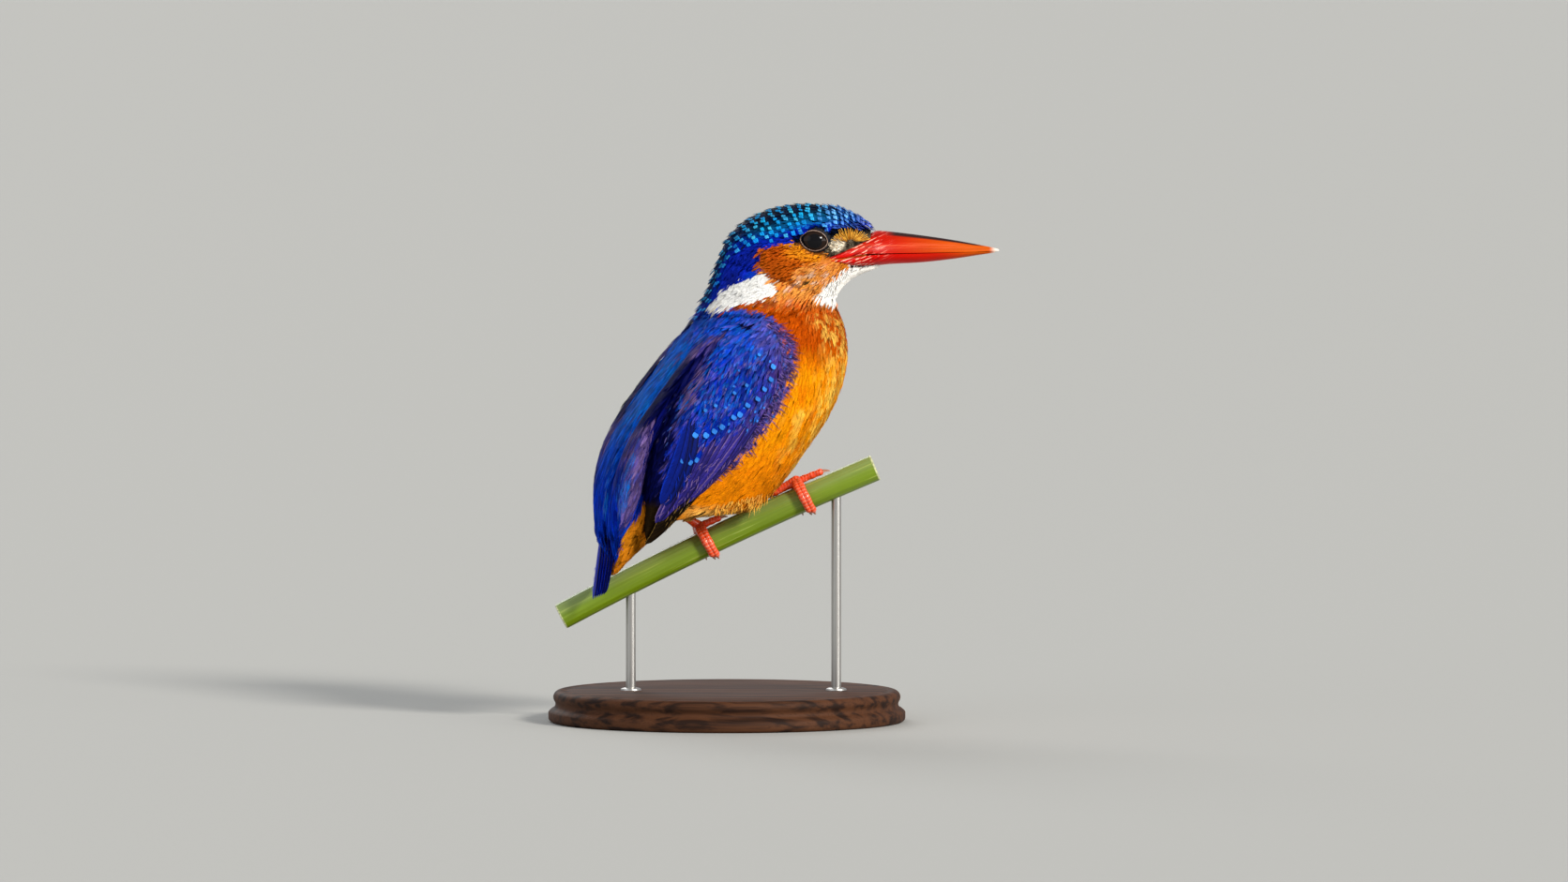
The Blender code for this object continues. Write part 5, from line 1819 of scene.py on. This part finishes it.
class KINGFISHER_OT_quills(Operator):
    """Sets the long feathers of both wings, in layers from the outermost in"""

    bl_idname = "kingfisher.quills"
    bl_label = "Flight Feathers"

    def execute(self, context):
        look, rng = start(context, 7)
        inner = mix(look.navy * 0.5, look.cobalt, 0.4)
        rows = (
            (PRIMARIES, look.quill, mix(look.quill, look.buff, 0.45)),
            (SECONDARIES, mix(look.violet, look.cobalt, 0.25), look.lilac),
            (TERTIALS, inner, look.cobalt),
        )
        for name, sign in SIDES.items():
            coat = Coat(f"quills_{name}", "quill", "wing_plumage", rng)
            kinds = vane_kinds(6, rng)
            for (count, roots, tips, half, heights), ground, edge in rows:
                shares = np.linspace(0, 1, count)
                start_at, end_at = (np.array(along_path(path, shares)) for path in (roots, tips))
                bow = (start_at + end_at) / 2 + ((0.4,), (-0.1,))
                (r, n0), (m, nm), (t, n1) = (body.form.seen_from_side(*place, sign)
                                             for place in (start_at, bow, end_at))
                height = np.linspace(*heights, count)[:, None] * MM
                r, m, t = r - n0 * 0.15 * MM, m + nm * height, t + n1 * height
                base = tiled(ground, count) * rng.uniform(0.45, 0.8, (count, 1))
                coat.lay(r, 2 * m - (r + t) / 2, t, n0, n1, half * MM, kinds, base, base * 0.9,
                         tiled(mix(base[0], edge, 0.95), count), own=0.6)
            coat.build()
        return {"FINISHED"}


class KINGFISHER_OT_tail(Operator):
    """Sets the twelve tail feathers, the middle pair on top"""

    bl_idname = "kingfisher.tail"
    bl_label = "Tail"

    def execute(self, context):
        look, rng = start(context, 8)
        coat = Coat("tail_feathers", "quill", "tail_plumage", rng)
        kinds = vane_kinds(5, rng, 0.86)
        rank, side = np.repeat(np.arange(6), 2), np.tile((1.0, -1.0), 6)
        aside = side * (0.35 + 0.62 * rank)
        under = rank * 0.45 + (side > 0) * 0.16
        root = from_side(-28.0 + under * 0.8, aside * 0.7, 44.0)
        middle = from_side(-29.0 + under, aside * 1.05, 36.5)
        end = from_side(-30.0 + under * 0.75, aside, 27.9 + rank * 0.25 + (side > 0) * 0.5)
        back = tiled(side_way(-28.0, 36.0, -1.0, -0.25), 12)
        base = np.array(mix(look.tail, look.cobalt, 0.35)) * rng.uniform(0.75, 1.15, (12, 1))
        # Painted shade: the lowest ranks, which lie under the others, are darker.
        base[rank > 3] *= 0.6
        coat.lay(root, 2 * middle - (root + end) / 2, end, back, back, 1.45 * MM, kinds, base,
                 base * 0.8, np.clip(base * 2.4, 0, 1), own=0.8)
        coat.build("tail")
        return {"FINISHED"}


# ---------------------------------------------------------------- hard parts

def round_about(sides):
    """The angles of a ring's points."""
    return 2 * math.pi * np.arange(sides) / sides


def loft(name, stations, travel=None):
    """A closed tube through rings of points, drawn as a disc that is pushed out ring by ring.
    Its points keep how far along they lie, in millimetres, and their way round."""
    stations = np.array(stations, float)
    count, sides = stations.shape[:2]
    bpy.ops.mesh.primitive_circle_add(vertices=sides, radius=MM, fill_type="NGON",
                                      location=(0, 0, 0))
    made = named(name)
    bpy.ops.object.mode_set(mode="EDIT")
    bpy.ops.mesh.select_all(action="SELECT")
    for _ in range(count - 1):
        bpy.ops.mesh.extrude_region_move(TRANSFORM_OT_translate={"value": (0, 0, MM)})
    bpy.ops.object.mode_set(mode="OBJECT")
    x, y, z = points_of(made).T
    ring = np.rint(z / MM).astype(int)
    spoke = np.rint(np.arctan2(y, x) / (2 * math.pi) * sides).astype(int) % sides
    if travel is None:
        steps = np.linalg.norm(np.diff(stations.mean(1), axis=0), axis=1) / MM
        travel = np.concatenate(([0], np.cumsum(steps)))
    angle = 2 * math.pi * spoke / sides
    place = np.stack((np.asarray(travel)[ring], np.cos(angle), np.sin(angle)), 1)
    layer = made.data.attributes.new("Place", "FLOAT_VECTOR", "POINT")
    layer.data.foreach_set("vector", place.astype(np.float32).ravel())
    move_points(made, stations[ring, spoke])
    edit(made, bpy.ops.mesh.normals_make_consistent, inside=False)
    return made


def smooth_by_angle(piece, degrees):
    pick(piece)
    bpy.ops.object.shade_smooth_by_angle(angle=math.radians(degrees))


def curve_through(rows, steps):
    """Rows of numbers with more rows set smoothly between them."""
    rows = np.array(rows, float)
    padded = np.concatenate((rows[:1], rows, rows[-1:]))
    made = []
    for a, b, c, d in zip(padded, padded[1:], padded[2:], padded[3:]):
        for t in np.arange(steps) / steps:
            made.append(0.5 * (2 * b + (c - a) * t + (2 * a - 5 * b + 4 * c - d) * t**2
                               + (3 * b - a - 3 * c + d) * t**3))
    return np.array(made + [rows[-1]])


# Rings of the bill in mm: x and z of top, x and z of bottom, half-width, where along its
# height it is widest, and how square it is.
UPPER_BILL = (
    (21.4, 104, 21.4, 103.8, 9.2, 0.5, 2.5), (25.3, 105.7, 25.3, 103.9, 8.7, 0.6, 4),
    (29, 107.4, 29, 104.45, 7.1, 0.75, 3.6), (31.6, 109, 31.6, 104.75, 5.7, 0.9, 2.4),
    (33.4, 110, 33.4, 104.93, 4.9, 0.96, 1.8), (37, 109.8, 37, 105, 3.9, 0.97, 1.7),
    (43.6, 109, 43.6, 105.1, 2.9, 0.97, 1.7), (50.4, 108, 50.4, 105.2, 2, 0.97, 1.7),
    (56.4, 106.9, 56.4, 105.3, 1.2, 0.95, 1.8), (60.2, 106.1, 60.2, 105.35, 0.45, 0.7, 2),
    (60.9, 105.8, 60.9, 105.5, 0.15, 0.6, 2),
)
LOWER_BILL = (
    (21.9, 103.88, 21.9, 103.5, 9.05, 0.3, 2.5), (25.3, 103.95, 25.3, 103, 8.55, 0.2, 4),
    (28, 104.35, 28, 102.3, 7.35, 0.12, 3.2), (32.6, 104.85, 32.6, 102.2, 5.1, 0.06, 2),
    (37, 105, 37, 102.6, 3.82, 0.04, 1.8), (43.6, 105.1, 43.6, 102.95, 2.84, 0.04, 1.8),
    (50.4, 105.2, 50.4, 103.7, 1.95, 0.04, 1.8), (56.4, 105.3, 56.4, 104.6, 1.12, 0.06, 1.8),
    (60, 105.38, 60, 105.15, 0.4, 0.3, 2),
)


class KINGFISHER_OT_bill(Operator):
    """Draws out the two halves of the bill"""

    bl_idname = "kingfisher.bill"
    bl_label = "Bill"

    def execute(self, context):
        for name, rows in (("upper", UPPER_BILL), ("lower", LOWER_BILL)):
            piece = loft(f"{name}_bill", [self.ring(*row) for row in curve_through(rows, 6)])
            smooth_by_angle(piece, 50)
            settle(piece, "bill", "bill_horn", f"bill_{name}")
        return {"FINISHED"}

    def ring(self, top_x, top_z, low_x, low_z, half, widest, square, sides=48):
        """A ring that is rounded above, comes to an edge at the sides and is flatter below."""
        angle = round_about(sides)
        up, out = (np.sign(v) * np.abs(v) ** (2 / square) for v in (np.cos(angle), np.sin(angle)))
        share = np.where(up > 0, widest * (1 - up), widest - up * (1 - widest))
        x = top_x + (low_x - top_x) * share
        z = top_z + (low_z - top_z) * share
        return np.stack((x, out * half, z), 1) * MM


LID_OPENING = (2.62, 2.02)  # half its length and height, in mm
LID_SHIFT = (-0.1, 0.1)  # of its middle from the eyeball's, in x and z
LID_TILT = math.radians(-8.0)
LIDS = (
    # name and finish, then how wide and thick the ring is and where it starts, in mm
    ("eyelid", "lid", 0.11, 0.14, 0.12),
    ("eye_surround", "surround", 0.75, 0.06, 0.2),
)


def on_eyeball(side, across, above, lift):
    """A place over an eyeball by its offset from the opening's middle in the side view."""
    middle, radius = EYES[side]
    x = (LID_SHIFT[0] + across) / EYE_STRETCH[0]
    z = (LID_SHIFT[1] + above) / EYE_STRETCH[2]
    reach = radius / MM + lift
    shrink = np.minimum(1.0, 0.985 * reach / np.maximum(np.hypot(x, z), 1e-6))
    x, z = x * shrink, z * shrink
    y = np.sqrt(np.maximum(reach**2 - x * x - z * z, 0.0)) * SIDES[side]
    return np.array(middle) + np.stack((x, y, z), -1) * EYE_STRETCH * MM


class KINGFISHER_OT_eyes(Operator):
    """Makes the eyeballs, and lids with a beaded rim that hold them"""

    bl_idname = "kingfisher.eyes"
    bl_label = "Eyes"

    def execute(self, context):
        for side, (middle, radius) in EYES.items():
            bpy.ops.mesh.primitive_uv_sphere_add(segments=64, ring_count=32, radius=radius,
                                                 location=(0, 0, 0))
            ball = named(f"eye_ball_{side}")
            for vert in ball.data.vertices:
                vert.co = middle + vert.co * Vector(EYE_STRETCH)
            ball.data.shade_smooth()
            settle(ball, "eye", "eye_gloss", f"eye_{side}")
            for name, *rest in LIDS:
                self.lid(f"{name}_{side}", side, *rest)
        return {"FINISHED"}

    def lid(self, name, side, finish, wide, thick, starts, minor=0.2):
        """A ring about the opening, whose beads are strongest to the rear."""
        bpy.ops.mesh.primitive_torus_add(major_segments=96, minor_segments=12, major_radius=1.0,
                                         minor_radius=minor, location=(0, 0, 0))
        ring = named(name)
        x, y, up = points_of(ring).T
        turn = np.arctan2(y, x)
        cos, sin = np.cos(turn), np.sin(turn)
        width = wide * (1.0 + 0.2 * np.cos(turn + 2.6))
        bead = 1.0 + 0.2 * np.sin(turn * 26.0) * (np.cos(turn - math.pi) > 0.1)
        out = starts + width + (np.hypot(x, y) - 1.0) / minor * width * bead
        # The corners of the opening draw out a little, to the rear most.
        corner = 1.0 + 0.10 * np.maximum(-cos, 0) ** 8 + 0.05 * np.maximum(cos, 0) ** 8
        x, z = cos * (LID_OPENING[0] + out) * corner, sin * (LID_OPENING[1] + out)
        tilt_x = x * math.cos(LID_TILT) - z * math.sin(LID_TILT)
        tilt_z = x * math.sin(LID_TILT) + z * math.cos(LID_TILT)
        move_points(ring, on_eyeball(side, tilt_x, tilt_z, 0.10 + up / minor * thick * bead))
        edit(ring, bpy.ops.mesh.normals_make_consistent, inside=False)
        ring.data.shade_smooth()
        settle(ring, finish, "crown_plumage")


RIGHT = np.array((0.0, -1.0, 0.0))  # to the bird's right
STEM_MIDDLE = (-1.9, 41.1)
STEM_SLOPE = math.radians(25.4)
STEM_RADIUS, STEM_HALF = 2.95, 39.0
STEM_BEND = 750.0  # the radius of its bow
STEM_CORNER = 0.05  # how far it is three-cornered
TOE_RADIUS, CLAW_LENGTH = 0.86, 1.9
FEET = {
    # x of the foot, how far the inner toe reaches along the stem, and the ankle
    "right": (-4.4, 4.2, (-9.4, -2.0, 46.2)),
    "left": (17.3, 5.2, (10.6, 0.6, 51.4)),
}
TOES = {
    # where it starts and ends along the stem in mm from the foot, None for as far as FEET
    # says, and its angles round the stem in degrees
    "outer": (-0.42, 0.04, 0, 124),
    "middle": (0.42, 0.82, 0, 132),
    "inner": (0.0, None, 0, 12),
    "hind": (-0.6, -1.4, -6, -112),
}


def stem_frame(x):
    """The stem's middle at this x in mm, the way it runs and its upper side."""
    slope = STEM_SLOPE - (x - STEM_MIDDLE[0]) / STEM_BEND
    rise = (x - STEM_MIDDLE[0]) * math.tan((STEM_SLOPE + slope) / 2)
    centre = np.array((x, 0.0, STEM_MIDDLE[1] + rise))
    along = np.array((math.cos(slope), 0.0, math.sin(slope)))
    return centre, along, np.array((-along[2], 0.0, along[0]))


def on_stem(x, angle, above):
    """A point in mm this far over the stem, this far round from its top to the bird's right."""
    centre, _, up = stem_frame(x)
    out = up * math.cos(angle) + RIGHT * math.sin(angle)
    return centre + out * (STEM_RADIUS * (1 + STEM_CORNER) + above)


def tube(name, path, radii, sides=20):
    """A round-ended tube along a path in mm."""
    path, radii = np.array(path, float), np.array(radii, float)
    ways = unit(np.gradient(path, axis=0))
    push, narrow = np.array(((0.95, 0.3), (0.75, 0.66), (0.4, 0.92))).T
    push = push[:, None]
    path = np.concatenate((path[0] - ways[0] * radii[0] * push, path,
                           path[-1] + ways[-1] * radii[-1] * push[::-1]))
    ways = np.concatenate((np.tile(ways[0], (3, 1)), ways, np.tile(ways[-1], (3, 1))))
    radii = np.concatenate((radii[0] * narrow, radii, radii[-1] * narrow[::-1]))
    angle = round_about(sides)[:, None]
    stations = []
    for at, way, radius in zip(path, ways, radii):
        up = at - stem_frame(at[0])[0]
        up = unit(up - way * (up @ way))
        ring = up * np.cos(angle) + np.cross(way, up) * np.sin(angle)
        stations.append((at + ring * radius) * MM)
    return loft(name, stations)


class KINGFISHER_OT_feet(Operator):
    """Makes shins, jointed toes and claws, clasped round the stem"""

    bl_idname = "kingfisher.feet"
    bl_label = "Feet"

    def execute(self, context):
        for side in SIDES:
            x, inner_reach, ankle = FEET[side]
            parts, claws = [], []
            for name, (first, last, *turns) in TOES.items():
                end = x + (inner_reach if last is None else last)
                path = self.toe_path(x + first, end, *np.radians(turns))
                parts.append(tube(f"toe_{name}", path, self.joints(len(path))))
                claws.append(self.claw(name, path))
            hub = on_stem(x, 0.0, 0.3 + 0.95)
            shin = [hub + (np.array(ankle) - hub) * share for share in np.linspace(0.0, 1.0, 15)]
            radii = 0.95 + 0.30 * np.exp(-(np.linspace(0, 3.5, 15) ** 2))
            radii *= 1 + 0.03 * np.cos(np.arange(15) * 2.4)
            parts.append(tube("shin", shin, radii, 24))
            foot = joined(f"leg_{side}", parts)
            foot.data.shade_smooth()
            settle(foot, "foot", "foot_skin", f"foot_{side}")
            nails = joined(f"claws_{side}", claws)
            nails.data.shade_smooth()
            settle(nails, "claw", "claw_horn", *(f"claw_{side}_{name}" for name in TOES))
        return {"FINISHED"}

    def toe_path(self, x_start, x_end, angle_start, angle_end, count=25):
        return [on_stem(x, angle, 0.25 + TOE_RADIUS)
                for x, angle in zip(np.linspace(x_start, x_end, count),
                                    np.linspace(angle_start, angle_end, count))]

    def joints(self, count):
        """Radii along a toe, fuller at its pads."""
        share = np.linspace(0, 1, count)
        return (TOE_RADIUS - 0.10 * share) * (1 + 0.06 * np.cos(share * 6 * math.pi))

    def claw(self, name, toe):
        end, way = toe[-1], unit(toe[-1] - toe[-2])
        centre, along, _ = stem_frame(end[0])
        inward = centre - end
        inward = unit(inward - along * (inward @ along))
        shares = np.linspace(0.0, 1.0, 9)
        path = [end + way * (0.35 + CLAW_LENGTH * 0.92 * s) + inward * 0.5 * s * s
                for s in shares]
        return tube(f"claw_{name}", path, 0.46 - 0.34 * shares ** 1.2, 14)


class KINGFISHER_OT_perch(Operator):
    """Draws out the cut stem, its flanks a little three-cornered"""

    bl_idname = "kingfisher.perch"
    bl_label = "Perch"

    def execute(self, context):
        half = STEM_HALF * math.cos(STEM_SLOPE)
        xs = np.linspace(STEM_MIDDLE[0] - half, STEM_MIDDLE[0] + half, 61)
        xs = np.concatenate((xs[:1], xs[:1] + 0.12, xs[1:-1], xs[-1:] - 0.12, xs[-1:]))
        angle = round_about(72)
        swell = 1 + STEM_CORNER * np.cos(3 * angle) + 0.012 * np.cos(18 * angle)
        stations = []
        for index, x in enumerate(xs):
            centre, _, up = stem_frame(x)
            edge = 0.16 if index in (0, len(xs) - 1) else 0.0
            out = up * np.cos(angle)[:, None] + RIGHT * np.sin(angle)[:, None]
            stations.append((centre + out * (STEM_RADIUS * swell - edge)[:, None]) * MM)
        travel = (xs - STEM_MIDDLE[0]) / half * STEM_HALF
        travel[[0, -1]] = (-STEM_HALF - 0.2, STEM_HALF + 0.2)
        piece = loft("perch", stations, travel)
        smooth_by_angle(piece, 35)
        settle(piece, "stem", "green_stem", "perch_stem")
        return {"FINISHED"}


# Radius and height in mm of the turned pieces: the base to its upper moulding, which is round,
# the base's top, and the collars of the rods.
BASE_FOOT = (
    (39, 0), (39.5, 0.15), (39.9, 0.5), (40, 0.9), (40, 2.1), (39.85, 2.4), (39.5, 2.7), (39.2, 2.95),
    (38.75, 3.2), (38.5, 3.5), (38.42, 3.9), (38.42, 4.2),
)
BASE_ROUND = (37.4, 5.5, 1.5)
BASE_TOP = ((36.9, 7), (36.3, 6.85), (35.7, 6.85), (35.2, 7), (20, 7), (4, 7))
COLLAR = ((1.12, 6.6), (2.3, 6.6), (2.35, 7), (2.2, 7.35), (1.6, 7.55), (1.12, 7.6))
ROD_X = {"rear": -21.5, "front": 24.5}


class KINGFISHER_OT_stand(Operator):
    """Turns the wooden base and sets the two steel rods in it"""

    bl_idname = "kingfisher.stand"
    bl_label = "Stand"

    def execute(self, context):
        r, z, bulge = BASE_ROUND
        moulding = [(r + bulge * math.cos(math.radians(a)), z + bulge * math.sin(math.radians(a)))
                    for a in range(-36, 91, 14)]
        self.turned("plinth", (*BASE_FOOT, *moulding, *BASE_TOP), 0.0, 128, "wood", "turned_wood",
                    "stand_base")
        for end, x in ROD_X.items():
            low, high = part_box(f"stand_rod_{end}")
            bottom, top = low.z / MM, high.z / MM
            rod = ((0.9, bottom), (1.1, bottom + 0.2), (1.1, 6.9), (1.1, top - 0.2), (0.9, top))
            self.turned(f"rod_{end}", rod, x, 32, "steel", "steel_rod", f"stand_rod_{end}")
            self.turned(f"collar_{end}", COLLAR, x, 48, "steel", "steel_rod")
        return {"FINISHED"}

    def turned(self, name, profile, x, sides, finish, slot, *replaced):
        angle = round_about(sides)
        piece = loft(name, [np.stack((x + radius * np.cos(angle), radius * np.sin(angle),
                                      np.full(sides, z)), 1) * MM for radius, z in profile])
        smooth_by_angle(piece, 40)
        settle(piece, finish, slot, *replaced)


# ---------------------------------------------------------------- studio

LAMPS = {
    # whence it shines, its share of the sun's strength, its size in radians and its colour
    "key": ((0.72, -0.78, 0.60), 1.0, 0.22, (1.0, 0.96, 0.90)),
    "fill": ((-0.8, -0.6, 0.35), 0.14, 0.9, (0.9, 0.95, 1.0)),
    "front": ((0.85, -0.5, 0.05), 0.36, 0.6, (1.0, 0.98, 0.94)),
    "rim": ((-0.35, 0.9, 0.6), 0.25, 0.5, (1.0, 1.0, 1.0)),
}
AIM = Vector((12.8, 0.0, 62.9))  # what the camera looks at, in mm


class KINGFISHER_OT_stage(Operator):
    """Makes the floor, the lights and the camera"""

    bl_idname = "kingfisher.stage"
    bl_label = "Studio"

    def execute(self, context):
        scene, stage = context.scene, context.scene.kingfisher_stage
        scene.view_settings.view_transform = "Standard"
        scene.world = bpy.data.worlds.new("studio")
        scene.world.use_nodes = True
        ground = scene.world.node_tree.nodes["Background"]
        ground.inputs["Color"].default_value = (0.95, 0.97, 1.0, 1.0)
        ground.inputs["Strength"].default_value = stage.sky
        bpy.ops.mesh.primitive_plane_add(size=60.0, location=(0, 0, 0))
        floor = context.active_object
        floor.name = "floor"
        finish = Finish("studio_floor", 0.85)
        speckle = finish.noise(900.0, 2.0)
        finish.set(finish.mix(stage.floor, [c * 0.97 for c in stage.floor], speckle))
        floor.data.materials.append(finish.material)
        for name, (place, share, size, colour) in LAMPS.items():
            lamp = bpy.data.lights.new(name, "SUN")
            lamp.energy, lamp.color, lamp.angle = stage.sun * share, colour, size
            self.aimed(name, lamp, place, -Vector(place))
        self.camera(scene, stage)
        return {"FINISHED"}

    def aimed(self, name, data, place, way):
        """A lamp or camera at a place, turned to look along a way."""
        made = bpy.data.objects.new(name, data)
        made.location = place
        made.rotation_euler = way.to_track_quat("-Z", "Y").to_euler()
        bpy.context.scene.collection.objects.link(made)
        return made

    def camera(self, scene, stage):
        """Looks level with the perch from the bird's right, framed about its breast."""
        data = bpy.data.cameras.new("camera")
        data.lens, data.clip_end = stage.lens, 100.0
        tilt = math.radians(stage.elevation)
        back = Vector((0.0, -math.cos(tilt), math.sin(tilt)))
        scene.camera = self.aimed("camera", data, AIM * MM + back * stage.distance, -back)


# ---------------------------------------------------------------- add-on

GROUPS = {
    "kingfisher_plumage": KingfisherPlumage,
    "kingfisher_horn": KingfisherHorn,
    "kingfisher_stand": KingfisherStand,
    "kingfisher_stage": KingfisherStage,
}
STEPS = (
    KINGFISHER_OT_stage, KINGFISHER_OT_skin, KINGFISHER_OT_crown, KINGFISHER_OT_head_coat,
    KINGFISHER_OT_lores, KINGFISHER_OT_breast, KINGFISHER_OT_back, KINGFISHER_OT_wings,
    KINGFISHER_OT_quills, KINGFISHER_OT_tail, KINGFISHER_OT_bill, KINGFISHER_OT_eyes,
    KINGFISHER_OT_feet, KINGFISHER_OT_perch, KINGFISHER_OT_stand,
)


class KINGFISHER_PT_steps(Panel):
    """Lists the steps that build the bird"""

    bl_label = "Kingfisher"
    bl_idname = "KINGFISHER_PT_steps"
    bl_space_type = "VIEW_3D"
    bl_region_type = "UI"
    bl_category = "Kingfisher"

    def draw(self, context):
        for step in STEPS:
            self.layout.operator(step.bl_idname)
        for name, group in GROUPS.items():
            box = self.layout.box()
            for prop in group.__annotations__:
                box.prop(getattr(context.scene, name), prop)


CLASSES = (*GROUPS.values(), *STEPS, KINGFISHER_PT_steps)


def register():
    for item in CLASSES:
        bpy.utils.register_class(item)
    for name, group in GROUPS.items():
        setattr(bpy.types.Scene, name, PointerProperty(type=group))


def unregister():
    for name in GROUPS:
        delattr(bpy.types.Scene, name)
    for item in reversed(CLASSES):
        bpy.utils.unregister_class(item)


def main():
    register()
    scene = bpy.context.scene
    for old in list(bpy.data.objects):
        if old.name in ("Cube", "Light", "Camera"):
            bpy.data.objects.remove(old)
    measure_eyes()
    finishes.update(make_finishes(scene.kingfisher_plumage, scene.kingfisher_horn,
                                  scene.kingfisher_stand))
    for step in STEPS:
        group, name = step.bl_idname.split(".")
        getattr(getattr(bpy.ops, group), name)()


if __name__ == "__main__":
    main()
